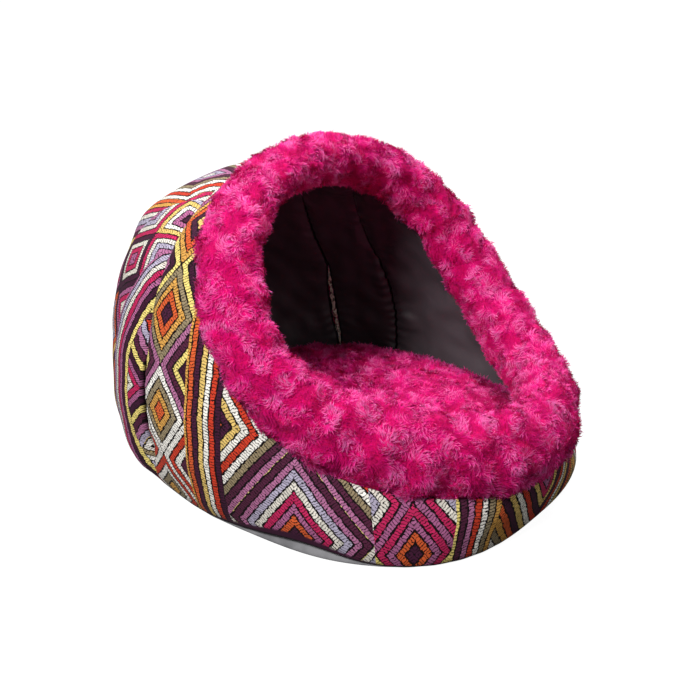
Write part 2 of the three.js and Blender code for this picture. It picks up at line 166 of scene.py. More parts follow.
def share_at_height(t, height):
    return bisect(lambda v: wall_at(t, v)[..., 2] < height, 0, 0.5, np.shape(t))


def plane_share(t, y):
    return bisect(lambda v: wall_at(t, v)[..., 1] > y, 0.3, 1, np.shape(t))


def plane_angle(v, side, y):
    return side * bisect(lambda t: wall_at(side * t, v)[..., 1] < y, 60 * RAD, 175 * RAD, np.shape(v))


def waves(p, length, seed, count=9):
    """Soft noise from about -1 to 1 at places p, with bumps about a wavelength apart."""
    rng = np.random.default_rng(seed)
    total = np.zeros(p.shape[:-1])
    for _ in range(count):
        way = unit(rng.normal(size=3)) * TURN / (length * rng.uniform(0.75, 1.4))
        total += np.sin(p @ way + rng.uniform(0, TURN))
    return total / math.sqrt(count)


# ---------------------------------------------------------------- the plush roll's surface

ROLL_RADIUS, ROLL_RADIUS_LIP = 30.2, 2.3
ROLL_WIDE, ROLL_WIDE_LIP, ROLL_TALL_LIP = 0.016, -0.103, 0.137
SAG_AT, SAG_SPREAD, SAG_GROW, SAG_IN, SAG_UP = -50, 30, 7, 6, 1
PLUSH_LUMP = 2.2
ROLL_WAVES = ((27, 1), (-14, 3), (-13, -4))
CUSHION_SPAN = 380
CUSHION_WAVES = ((7, 0), (-3.5, 6.1), (-3.5, -6.1))


def lumps(a, b, sets):
    drift = 0.8 * np.sin(3 * a + b) + 0.6 * np.sin(5 * a - 2 * b + 1)
    return PLUSH_LUMP * sum(np.cos(i * a + j * b + k * drift) for k, (i, j) in enumerate(sets)) / 2


RIM_T = np.linspace(0, TURN, 1441)
RIM_RUN = np.concatenate([[0], np.cumsum(np.linalg.norm(np.diff(rim_at(RIM_T), axis=0), axis=1))])
RIM_LENGTH = RIM_RUN[-1]


def roll_frame(t):
    """Middle, sideways and upward axes, and half width and height of the roll's section."""
    ahead = unit(rim_at(t + 0.01) - rim_at(t - 0.01))
    side = unit(np.cross(ahead, vec(0, 0.4, 1)))
    up = np.cross(ahead, side)
    sag = bell((t / RAD - SAG_AT + 180) % 360 - 180, SAG_SPREAD)
    radius = ROLL_RADIUS + ROLL_RADIUS_LIP * np.cos(t) + SAG_GROW * sag
    middle = rim_at(t) - side * (SAG_IN * sag)[..., None] - up * (SAG_UP * sag)[..., None]
    wide = radius * (1 + ROLL_WIDE + ROLL_WIDE_LIP * np.cos(t))
    tall = radius * (1 + ROLL_TALL_LIP * np.cos(t))
    return middle, side, up, wide, tall


def roll_at(turn, angle, extra):
    t = np.interp(turn * RIM_LENGTH / TURN, RIM_RUN, RIM_T)
    middle, side, up, wide, tall = roll_frame(t)
    lump = lumps(turn, angle, ROLL_WAVES) + extra
    return (
        middle
        + side * ((wide + lump) * np.cos(angle))[..., None]
        + up * ((tall + lump) * np.sin(angle))[..., None]
    )


ROLL_NEAR = roll_frame(np.linspace(0, TURN, 721)[:-1])


def in_roll(p, room=0.0):
    """How far out in the roll's section places p are: under 1 is inside it."""
    flat = p.reshape(-1, 3)
    middle, side, up, wide, tall = ROLL_NEAR
    nearest = np.argmin(((flat[:, None, :] - middle[None]) ** 2).sum(axis=2), axis=1)
    off = flat - middle[nearest]
    x = (off * side[nearest]).sum(axis=1) / (wide[nearest] + room)
    y = (off * up[nearest]).sum(axis=1) / (tall[nearest] + room)
    return np.hypot(x, y).reshape(p.shape[:-1])


# ---------------------------------------------------------------- meshes


def grid_faces(rows, columns, wrap_rows=False, wrap_columns=False, start=0):
    i, j = np.meshgrid(
        np.arange(rows if wrap_rows else rows - 1),
        np.arange(columns if wrap_columns else columns - 1),
        indexing="ij",
    )
    i2, j2 = (i + 1) % rows, (j + 1) % columns
    faces = np.stack([i * columns + j, i * columns + j2, i2 * columns + j2, i2 * columns + j], axis=-1)
    return faces.reshape(-1, 4) + start


def new_mesh(name, points, faces, uv=None, material=None, **values):
    """An object of points in millimetres, with values at its points and a UV map in metres."""
    mesh = bpy.data.meshes.new(name)
    points = np.asarray(points, float).reshape(-1, 3)
    mesh.from_pydata((points / 1000).tolist(), [], [list(map(int, f)) for f in faces])
    mesh.shade_smooth()
    if uv is not None:
        layer = mesh.uv_layers.new(name="cloth")
        corner = np.empty(len(mesh.loops), dtype=np.int32)
        mesh.loops.foreach_get("vertex_index", corner)
        flat = (np.asarray(uv, float).reshape(-1, 2) / 1000)[corner]
        layer.data.foreach_set("uv", flat.astype(np.float32).ravel())
    for key, value in values.items():
        value = np.asarray(value, float)
        is_vector = value.ndim > 1 and value.shape[-1] == 3
        kind, field = ("FLOAT_VECTOR", "vector") if is_vector else ("FLOAT", "value")
        data = mesh.attributes.new(key, kind, "POINT").data
        data.foreach_set(field, value.astype(np.float32).ravel())
    if material:
        mesh.materials.append(material)
    obj = bpy.data.objects.new(name, mesh)
    bpy.context.scene.collection.objects.link(obj)
    return obj


def slab_faces(rows, columns, wrap_rows=False, start=0):
    """Faces of a slab: outer grid first, inner grid after it, with its open edges closed."""
    count = rows * columns
    outer = grid_faces(rows, columns, wrap_rows)
    inner = grid_faces(rows, columns, wrap_rows)[:, ::-1] + count
    faces = [outer, inner]
    i = np.arange(rows if wrap_rows else rows - 1)
    i2 = (i + 1) % rows
    for j, flip in ((0, 1), (columns - 1, -1)):
        a, b = i * columns + j, i2 * columns + j
        faces.append(np.stack([a, b, b + count, a + count], axis=1)[:, ::flip])
    if not wrap_rows:
        j = np.arange(columns - 1)
        for row, flip in ((0, -1), (rows - 1, 1)):
            a, b = row * columns + j, row * columns + j + 1
            faces.append(np.stack([a, b, b + count, a + count], axis=1)[:, ::flip])
    return np.concatenate(faces) + start


def join_slabs(name, parts, material):
    """One object from several slabs, each (outer points, inner points, uv, values, wraps)."""
    points, faces, uvs, start, values = [], [], [], 0, {}
    for outer, inner, uv, extra, wraps in parts:
        rows, columns = outer.shape[:2]
        points += [outer.reshape(-1, 3), inner.reshape(-1, 3)]
        faces.append(slab_faces(rows, columns, wraps, start))
        uvs += [uv.reshape(-1, 2)] * 2
        for key, value in extra.items():
            values.setdefault(key, []).extend([value.ravel()] * 2)
        start += 2 * rows * columns
    values = {key: np.concatenate(value) for key, value in values.items()}
    return new_mesh(
        name, np.concatenate(points), np.concatenate(faces), np.concatenate(uvs), material, **values
    )


def signed_volume(points, faces):
    a, b, c, d = (points[faces[:, k]] for k in range(4))
    return float((a * np.cross(b, c)).sum() + (a * np.cross(c, d)).sum()) / 6


def capped(rings, ends):
    """Points and outward faces of a stack of rings, closed by a fan round each of its two end points."""
    rows, columns = rings.shape[:2]
    points = np.concatenate([rings.reshape(-1, 3), ends])
    quads = grid_faces(rows, columns, False, True)
    faces = quads.tolist()
    last = (rows - 1) * columns
    for j in range(columns):
        k = (j + 1) % columns
        faces.append([rows * columns, k, j])
        faces.append([rows * columns + 1, last + j, last + k])
    if signed_volume(points, quads) < 0:
        faces = [f[::-1] for f in faces]
    return points, faces


# ---------------------------------------------------------------- node trees


class Tree:
    """Short ways to build a node tree; numbers and colours can stand where a socket goes."""

    def __init__(self, tree):
        self.tree = tree

    def node(self, kind, inputs=(), **settings):
        node = self.tree.nodes.new(kind)
        for key, value in settings.items():
            setattr(node, key, value)
        for key, value in dict(inputs).items():
            self.put(node.inputs[key], value)
        return node

    def put(self, socket, value):
        if isinstance(value, bpy.types.NodeSocket):
            self.tree.links.new(value, socket)
        elif value is not None:
            socket.default_value = value

    def math(self, operation, *values, clamp=False):
        node = self.node("ShaderNodeMath", dict(enumerate(values)), operation=operation, use_clamp=clamp)
        return node.outputs[0]

    def add(self, a, b):
        return self.math("ADD", a, b)

    def sub(self, a, b):
        return self.math("SUBTRACT", a, b)

    def mul(self, a, b):
        return self.math("MULTIPLY", a, b)

    def madd(self, a, b, c):
        return self.math("MULTIPLY_ADD", a, b, c)

    def pick(self, when, yes, no):
        """yes where when is 1, no where it is 0."""
        return self.add(no, self.mul(when, self.sub(yes, no)))

    def ramp(self, value, low, high, out_low=0.0, out_high=1.0):
        node = self.node(
            "ShaderNodeMapRange",
            {"Value": value, "From Min": low, "From Max": high, "To Min": out_low, "To Max": out_high},
            interpolation_type="SMOOTHSTEP",
        )
        return node.outputs["Result"]

    def mix(self, share, a, b, blend="MIX"):
        node = self.tree.nodes.new("ShaderNodeMix")
        node.data_type, node.blend_type = "RGBA", blend
        self.put(node.inputs[0], share)
        self.put(node.inputs[6], a)
        self.put(node.inputs[7], b)
        return node.outputs[2]

    def attribute(self, name, output="Fac"):
        return self.node("ShaderNodeAttribute", attribute_name=name).outputs[output]

    def place(self):
        return self.node("ShaderNodeTexCoord").outputs["Object"]

    def vector(self, operation, a, b=None, **inputs):
        return self.node("ShaderNodeVectorMath", {0: a, 1: b, **inputs}, operation=operation).outputs[0]

    def bump(self, strength, distance, height, under=None):
        given = {"Strength": strength, "Distance": distance, "Height": height, "Normal": under}
        return self.node("ShaderNodeBump", given).outputs[0]

    def hashed(self, number):
        return self.node("ShaderNodeTexWhiteNoise", {"W": number}, noise_dimensions="1D").outputs["Value"]

    def noise(self, vector, scale, detail=2.0, rough=0.5):
        node = self.node(
            "ShaderNodeTexNoise",
            {"Vector": vector, "Scale": scale, "Detail": detail, "Roughness": rough},
        )
        return node.outputs["Fac"]


def rgb(red, green, blue):
    """A screen colour, 0 to 255, as the renderer's linear colour."""
    shares = (red / 255, green / 255, blue / 255)
    return (*(c / 12.92 if c <= 0.04045 else ((c + 0.055) / 1.055) ** 2.4 for c in shares), 1.0)


def node_group(name, inputs, outputs):
    tree = bpy.data.node_groups.new(name, "ShaderNodeTree")
    for title, kind, value in inputs:
        socket = tree.interface.new_socket(title, in_out="INPUT", socket_type=kind)
        if value is not None:
            socket.default_value = value
    for title, kind in outputs:
        tree.interface.new_socket(title, in_out="OUTPUT", socket_type=kind)
    made = Tree(tree)
    return made, made.node("NodeGroupInput").outputs, made.node("NodeGroupOutput").inputs


def new_material(name, **plain):
    """A material with its Principled shader, with plain values by socket name."""
    material = bpy.data.materials.new(name)
    material.use_nodes = True
    tree = Tree(material.node_tree)
    shader = material.node_tree.nodes["Principled BSDF"]
    for key, value in plain.items():
        shader.inputs[key.replace("_", " ")].default_value = value
    return material, tree, shader


# Printed cloth, in millimetres: bands of large and small nested diamonds and of upright stripes, with
# every stripe cut into stitches
DIAMOND_BAND, STRIPE_BAND, SMALL_BAND = 150, 45, 74
BAND_REPEAT = DIAMOND_BAND + STRIPE_BAND + SMALL_BAND
DIAMOND_TALL, SMALL_TALL = 188, 92
SMALL_RAISED, BAND_RAISED = 31.0, 70.0
DRIFT_SCALE, FRAY_SCALE = 60, 330
STITCH_SLOPE, STITCH_FRAY, STITCH_RAGGED = (-1.2, 3.2), 5.0, 0.15
EDGE_LINE, CUT_LINE = (0.44, 0.48), (0.33, 0.43)
STITCH_SHADE = (0.84, 0.26)
GOLDEN_STEP = 0.618034
PRINT_COLOURS = (
    rgb(62, 22, 48),
    rgb(216, 94, 48),
    rgb(178, 110, 150),
    rgb(240, 236, 226),
    rgb(196, 38, 92),
    rgb(150, 134, 104),
    rgb(238, 216, 126),
    rgb(70, 26, 54),
    rgb(182, 174, 196),
    rgb(205, 62, 38),
    rgb(172, 98, 142),
    rgb(216, 160, 78),
    rgb(84, 34, 60),
    rgb(228, 194, 112),
    rgb(228, 222, 210),
    rgb(244, 240, 232),
)
PRINT_LINE = rgb(16, 7, 11)
PRINT_HEM = rgb(58, 22, 46)


def make_print_group():
    g, given, out = node_group(
        "stitched_stripes",
        [
            ("Vector", "NodeSocketVector", None),
            ("Stripe", "NodeSocketFloat", 7.2),
            ("Stitch", "NodeSocketFloat", 2.9),
            ("Wobble", "NodeSocketFloat", 2.2),
            ("Hem", "NodeSocketFloat", 0.0),
        ],
        [("Color", "NodeSocketColor"), ("Height", "NodeSocketFloat")],
    )
    stripe, stitch, wobble = given["Stripe"], given["Stitch"], given["Wobble"]
    place = g.node("ShaderNodeSeparateXYZ", {0: given["Vector"]}).outputs
    shift_u = g.sub(g.noise(given["Vector"], DRIFT_SCALE, 2), 0.5)
    elsewhere = g.vector("ADD", given["Vector"], (7.3, 3.1, 0))
    shift_v = g.sub(g.noise(elsewhere, DRIFT_SCALE, 2), 0.5)
    fine = g.sub(g.noise(given["Vector"], FRAY_SCALE, 3, 0.6), 0.5)
    u = g.madd(shift_u, wobble, g.mul(place["X"], 1000))
    v = g.madd(shift_v, wobble, g.mul(place["Y"], 1000))
    along = g.add(u, DIAMOND_BAND / 2)
    band = g.math("FLOOR", g.math("DIVIDE", along, BAND_REPEAT))
    across = g.math("FLOORED_MODULO", along, BAND_REPEAT)

    def diamonds(x, up, wide, tall, salt):
        """Nested diamonds in a band: how many stripes out, the way along the stripe, and a code."""
        half_w, half_h = wide / 2, tall / 2
        slant = math.hypot(half_w, half_h)
        cell = g.math("FLOOR", g.math("DIVIDE", up, tall))
        x = g.math("ABSOLUTE", g.sub(x, half_w))
        y = g.math("ABSOLUTE", g.sub(g.math("FLOORED_MODULO", up, tall), half_h))
        deep = g.math("DIVIDE", g.add(g.mul(x, half_h / slant), g.mul(y, half_w / slant)), stripe)
        run = g.sub(g.mul(y, half_h / slant), g.mul(x, half_w / slant))
        inner = g.math("LESS_THAN", deep, g.math("DIVIDE", half_w * half_h / slant, stripe))
        between = g.math("ROUND", g.math("DIVIDE", up, tall))
        return deep, run, g.pick(inner, g.madd(cell, 0.37, salt), g.madd(between, 0.23, salt + 0.51))

    deep, run, code = diamonds(across, g.madd(band, BAND_RAISED, v), DIAMOND_BAND, DIAMOND_TALL, 0.16)
    upright = g.math("DIVIDE", g.sub(across, DIAMOND_BAND), g.mul(stripe, 0.96))
    small_at = g.sub(across, DIAMOND_BAND + STRIPE_BAND)
    small, small_run, small_code = diamonds(small_at, g.add(v, SMALL_RAISED), SMALL_BAND, SMALL_TALL, 0.45)

    in_stripes = g.math("GREATER_THAN", across, DIAMOND_BAND)
    in_small = g.math("GREATER_THAN", across, DIAMOND_BAND + STRIPE_BAND)
    depth = g.pick(in_small, small, g.pick(in_stripes, upright, deep))
    length = g.pick(in_small, small_run, g.pick(in_stripes, v, run))
    code = g.pick(in_small, small_code, g.pick(in_stripes, 0.71, code))

    index = g.math("FLOOR", depth)
    part = g.math("FRACT", depth)
    shade = g.math("FRACT", g.add(g.madd(index, GOLDEN_STEP, code), g.mul(band, 0.291)))
    ramp = g.node("ShaderNodeValToRGB", {"Fac": shade})
    ramp.color_ramp.interpolation = "CONSTANT"
    stops = ramp.color_ramp.elements
    stops[0].color = PRINT_COLOURS[0]
    stops[1].position, stops[1].color = 1 / len(PRINT_COLOURS), PRINT_COLOURS[1]
    for i, colour in enumerate(PRINT_COLOURS[2:], 2):
        stops.new(i / len(PRINT_COLOURS)).color = colour

    # every stripe is cut crosswise into stitches of uneven length
    stripe_hash = g.hashed(g.add(g.mul(index, 3.7), code))
    slope = g.mul(g.sub(part, 0.5), g.madd(stripe_hash, STITCH_SLOPE[1], STITCH_SLOPE[0]))
    slanted = g.add(g.add(slope, length), g.mul(fine, STITCH_FRAY))
    steps = g.add(g.math("DIVIDE", slanted, stitch), g.mul(stripe_hash, 5.0))
    cut = g.math("ABSOLUTE", g.sub(g.math("FRACT", steps), 0.5))
    stitch_hash = g.hashed(g.madd(g.math("FLOOR", steps), 1.7, g.mul(index, 0.31)))
    edge = g.madd(fine, 0.3, g.math("ABSOLUTE", g.sub(part, 0.5)))
    edge_line = g.ramp(g.madd(stitch_hash, STITCH_RAGGED, edge), *EDGE_LINE)
    cut_line = g.ramp(cut, *CUT_LINE)
    line = g.math("MAXIMUM", edge_line, cut_line)
    hue = g.node(
        "ShaderNodeHueSaturation",
        {
            "Saturation": 1.0,
            "Value": g.madd(stitch_hash, STITCH_SHADE[1], STITCH_SHADE[0]),
            "Color": ramp.outputs["Color"],
        },
    ).outputs["Color"]
    g.put(out["Color"], g.mix(given["Hem"], g.mix(line, hue, PRINT_LINE), PRINT_HEM))
    g.put(out["Height"], g.mul(g.sub(1.0, line), g.sub(1.0, given["Hem"])))
    return g.tree


def make_cover_material():
    material, t, shader = new_material(
        "printed_cover", Roughness=0.85, Specular_IOR_Level=0.16, Sheen_Weight=0.03, Sheen_Roughness=0.4
    )
    group = t.node("ShaderNodeGroup")
    group.node_tree = make_print_group()
    t.put(group.inputs["Vector"], t.node("ShaderNodeUVMap", uv_map="cloth").outputs["UV"])
    t.put(group.inputs["Hem"], t.attribute("hem"))
    stitched = t.bump(0.35, 0.0006, group.outputs["Height"])
    t.put(shader.inputs["Base Color"], group.outputs["Color"])
    t.put(shader.inputs["Normal"], t.bump(0.25, 0.0003, t.noise(t.place(), 1400, 2), stitched))
    return material


# Plush colours: a painted-shade colour for roots, hollows and shaded patches, the middle colour, and a
# painted-highlight colour for the strands' tips
PLUSH_SHADED = rgb(210, 0, 98)
PLUSH_MID = rgb(244, 16, 130)
PLUSH_HIGHLIGHT = rgb(255, 112, 182)
PLUSH_SHEEN = rgb(255, 120, 190)
# shares of the surface's soft normal in a strand's own, and of the rosettes' relief in that soft normal
SOFTNESS, RELIEF = 0.6, 0.3
# how much painted highlight the tips get, how much each strand's random tone varies, and how much painted
# shade the hollows and shaded patches get
TIP_HIGHLIGHT, GRAIN_LIGHT, HOLLOW_SHADE = 0.55, 0.28, 0.8


def make_plush_group():
    """Colour of the plush: painted highlight towards each strand's tip, painted shade where the pile lies
    deep in hollows and shaded patches, and a random tone of each strand's own.
    """
    g, given, out = node_group(
        "plush_colour",
        [
            ("Tip", "NodeSocketFloat", 0.0),
            ("Hollow", "NodeSocketFloat", 0.0),
            ("Grain", "NodeSocketFloat", 0.5),
            ("Deep", "NodeSocketColor", PLUSH_SHADED),
            ("Middle", "NodeSocketColor", PLUSH_MID),
            ("Light", "NodeSocketColor", PLUSH_HIGHLIGHT),
        ],
        [("Color", "NodeSocketColor")],
    )
    grain = g.mul(g.sub(given["Grain"], 0.5), GRAIN_LIGHT)
    # lighter up each strand as painted highlight, darker in hollows and shaded patches as painted shade,
    # with each strand's random tone
    level = g.madd(given["Tip"], TIP_HIGHLIGHT, g.sub(grain, g.mul(given["Hollow"], HOLLOW_SHADE)))
    low = g.mix(g.ramp(level, -0.45, 0.15), given["Deep"], given["Middle"])
    g.put(out["Color"], g.mix(g.ramp(level, -0.12, 0.6), low, given["Light"]))
    return g.tree


def make_plush_materials():
    group_tree = make_plush_group()
    made = []
    for name, strand in (("rosette_plush", True), ("rosette_plush_ground", False)):
        material, t, shader = new_material(
            name, Roughness=0.95, Specular_IOR_Level=0.15, Sheen_Weight=0.25, Sheen_Roughness=0.5,
            Sheen_Tint=PLUSH_SHEEN, Subsurface_Weight=0.6, Subsurface_Scale=0.003,
            Subsurface_Radius=(1.0, 0.3, 0.6),
        )
        group = t.node("ShaderNodeGroup")
        group.node_tree = group_tree
        # the hollow value darkens the plush as painted shade in the gaps between rosettes and in shaded
        # patches
        t.put(group.inputs["Hollow"], t.attribute("hollow"))
        if strand:
            t.put(group.inputs["Tip"], t.attribute("tip"))
            t.put(group.inputs["Grain"], t.attribute("grain"))
            own = t.node("ShaderNodeNewGeometry").outputs["Normal"]
            sides = {0: SOFTNESS, 4: own, 5: t.attribute("soft", "Vector")}
            blend = t.node("ShaderNodeMix", sides, data_type="VECTOR").outputs[1]
            t.put(shader.inputs["Normal"], t.vector("NORMALIZE", blend))
        else:
            # the ground under the strands takes the darker root colour: painted shade under the pile
            group.inputs["Tip"].default_value = 0.1
            fuzz = t.noise(t.place(), 700, 3)
            t.put(group.inputs["Grain"], fuzz)
            t.put(shader.inputs["Normal"], t.bump(0.8, 0.0015, fuzz))
        t.put(shader.inputs["Base Color"], group.outputs["Color"])
        made.append(material)
    return made


def make_lining_material():
    material, t, shader = new_material("lining", Roughness=0.45, Sheen_Roughness=0.3)
    where, near = t.place(), t.attribute("near")
    cloth = t.mix(t.ramp(t.noise(where, 9, 3), 0.3, 0.7), rgb(62, 54, 59), rgb(80, 70, 75))
    # near-black close to the seams: painted shade in the seam valleys, where the specular and sheen fade
    # out too
    t.put(shader.inputs["Base Color"], t.mix(t.ramp(near, 0.6, 0.92), cloth, rgb(12, 9, 10)))
    t.put(shader.inputs["Specular IOR Level"], t.ramp(near, 0.45, 0.85, 0.42, 0.0))
    t.put(shader.inputs["Sheen Weight"], t.ramp(near, 0.45, 0.85, 0.35, 0.0))
    creased = t.bump(0.35, 0.002, t.noise(where, 55, 4, 0.55))
    t.put(shader.inputs["Normal"], t.bump(0.2, 0.0002, t.noise(where, 2600, 1), creased))
    return material


def make_facing_material():
    material, t, shader = new_material("facing", Roughness=0.9)
    patch = t.noise(t.place(), 420, 3, 0.7)
    colour = t.mix(t.ramp(patch, 0.42, 0.5), rgb(96, 78, 70), rgb(244, 230, 214))
    t.put(shader.inputs["Base Color"], t.mix(t.ramp(patch, 0.58, 0.64), colour, rgb(250, 244, 236)))
    t.put(shader.inputs["Normal"], t.bump(0.6, 0.0008, patch))
    return material


def make_base_material():
    material, t, shader = new_material("base_cloth", Roughness=0.88)
    where = t.place()
    mottle = t.ramp(t.noise(where, 60, 3), 0.3, 0.7)
    t.put(shader.inputs["Base Color"], t.mix(mottle, rgb(108, 107, 110), rgb(132, 131, 134)))
    t.put(shader.inputs["Normal"], t.bump(0.4, 0.0005, t.noise(where, 1500, 2)))
    return material


cover_cloth = make_cover_material()
plush_strands, plush_ground = make_plush_materials()
lining_cloth = make_lining_material()
facing_cloth = make_facing_material()
base_cloth = make_base_material()

# ---------------------------------------------------------------- plush


ROSETTE, ROSETTE_JITTER, ROSETTE_CLOCKWISE, ROSETTE_LIFT = 26.0, 0.45, 0.6, (0.55, 1.25)
DOME_HIGH, FOLD_HIGH, DIMPLE_DEEP, DIMPLE_WIDE, CURL_TURNS = 2.5, 0.9, 0.9, 0.24, 7.5
NAP_WAVER, LEAN_WAVER, PATCH_WIDE = 0.9, 0.12, 24


def rosette_field(x, y, seed, wrap=None, size=ROSETTE, span=None):
    """Rosettes on a plane of millimetres: height, hollow (painted as shade in the plush's colour) and the
    angle of the nap at each place.

    wrap is the plane's size where it closes on itself both ways; span is its half size where not."""
    rng = np.random.default_rng(seed)
    pitch = size * 0.866
    if wrap:
        columns, rows = 2 * round(wrap[0] / pitch / 2), round(wrap[1] / size)
        step = (wrap[0] / columns, wrap[1] / rows)
        low = (0.0, 0.0)
    else:
        columns, rows = int(2 * span / pitch) + 4, int(2 * span / size) + 4
        step = (pitch, size)
        low = (-columns * pitch / 2, -rows * size / 2)
    i, j = np.meshgrid(np.arange(columns), np.arange(rows), indexing="ij")
    centres = np.stack([low[0] + i * step[0], low[1] + (j + 0.5 * (i % 2)) * step[1]], axis=-1)
    centres = centres.reshape(-1, 2)
    centres = centres + rng.uniform(-ROSETTE_JITTER, ROSETTE_JITTER, centres.shape) * size
    spin = np.where(rng.uniform(size=len(centres)) < ROSETTE_CLOCKWISE, 1.0, -1.0)
    phase = rng.uniform(0, TURN, len(centres))
    lift = rng.uniform(*ROSETTE_LIFT, len(centres))
    if wrap:
        moves = [(a * wrap[0], b * wrap[1]) for a in (-1, 0, 1) for b in (-1, 0, 1)]
        near = np.concatenate([centres + m for m in moves])
        whose = np.tile(np.arange(len(centres)), len(moves))
        keep = (
            (near[:, 0] > -size * 2) & (near[:, 0] < wrap[0] + size * 2)
            & (near[:, 1] > -size * 2) & (near[:, 1] < wrap[1] + size * 2)
        )
        near, whose = near[keep], whose[keep]
    else:
        near, whose = centres, np.arange(len(centres))
    places = np.stack([x.ravel(), y.ravel()], axis=1)
    height, hollow, nap = (np.empty(len(places)) for _ in range(3))
    for start in range(0, len(places), 4000):
        p = places[start : start + 4000]
        off = p[:, None, :] - near[None]
        far = np.hypot(off[..., 0], off[..., 1])
        order = np.argpartition(far, 1, axis=1)[:, :2]
        two = np.take_along_axis(far, order, axis=1)
        first = np.where(two[:, 0] < two[:, 1], order[:, 0], order[:, 1])
        d1, d2 = two.min(axis=1), two.max(axis=1)
        own = off[np.arange(len(p)), first]
        mine = whose[first]
        round_it = np.arctan2(own[:, 1], own[:, 0])
        r = d1 / (size / 2)
        edge = smoothstep((d2 - d1) / size, 0.0, 0.55)
        curl = np.cos(round_it * 2 + spin[mine] * (CURL_TURNS * r) + phase[mine])
        fold = curl * smoothstep(r, 0.1, 0.4) * (0.35 + 0.65 * edge)
        dimple = np.exp(-((r / DIMPLE_WIDE) ** 2))
        dome = DOME_HIGH * edge * (1 - 0.2 * r * r)
        here = slice(start, start + 4000)
        height[here] = (dome + FOLD_HIGH * fold - DIMPLE_DEEP * dimple) * lift[mine]
        hollow[here] = np.clip(1 - edge + 0.35 * np.maximum(0, -fold) + 0.5 * dimple, 0, 1)
        nap[here] = round_it + spin[mine] * (1.9 - 0.5 * r) + 0.35 * curl
    return tuple(a.reshape(x.shape) for a in (height, hollow, nap))


def combed(smooth, hollow, nap, nap_seed, patch_seed, lean_seed):
    """The nap's angle, hollow, lean and length of the pile on a smooth surface, made uneven.

    Hollow stands for the gaps between rosettes and for patches whose tips don't catch the light; it darkens
    the plush's colour there as painted shade, and makes the strands shorter and more upright."""
    nap = nap + NAP_WAVER * waves(smooth, 12, nap_seed)
    # patches of painted shade, where the tips don't catch the light
    patches = smoothstep(waves(smooth, PATCH_WIDE, patch_seed), 0.05, 0.75)
    hollow = np.clip(0.4 * hollow + 0.7 * patches, 0, 1)
    lean = 1.25 - 0.25 * hollow + LEAN_WAVER * waves(smooth, 11, lean_seed)
    return nap, hollow, lean, 1.05 - 0.4 * hollow


def nap_vectors(points, wrap_rows, wrap_columns, nap, lean, outward):
    """Outward normals of a grid of points, and the ways its strands point."""

    def slope(axis, wraps):
        if wraps:
            return np.roll(points, -1, axis) - np.roll(points, 1, axis)
        return np.gradient(points, axis=axis)

    one, two = unit(slope(0, wrap_rows)), slope(1, wrap_columns)
    normal = unit(np.cross(one, two))
    turned = np.sign((normal * outward).sum(axis=-1, keepdims=True))
    other = np.cross(normal, one)
    normal = normal * turned
    way = one * np.cos(nap)[..., None] + other * np.sin(nap)[..., None]
    return normal, unit(normal * np.cos(lean)[..., None] + way * np.sin(lean)[..., None])


def make_strand():
    """One flat strand, a millimetre long, bent over towards its tip."""
    wide = 0.06
    points = [
        (-wide * 0.8, -0.06, 0), (wide * 0.8, -0.06, 0),
        (0.12 - wide * 1.2, 0.13, 0.5), (0.12 + wide * 1.2, 0.13, 0.5),
        (-0.04, 0.02, 1),
    ]
    return new_mesh("strand", points, [(0, 1, 3, 2), (2, 3, 4)], tip=[0, 0, 0.55, 0.55, 1])


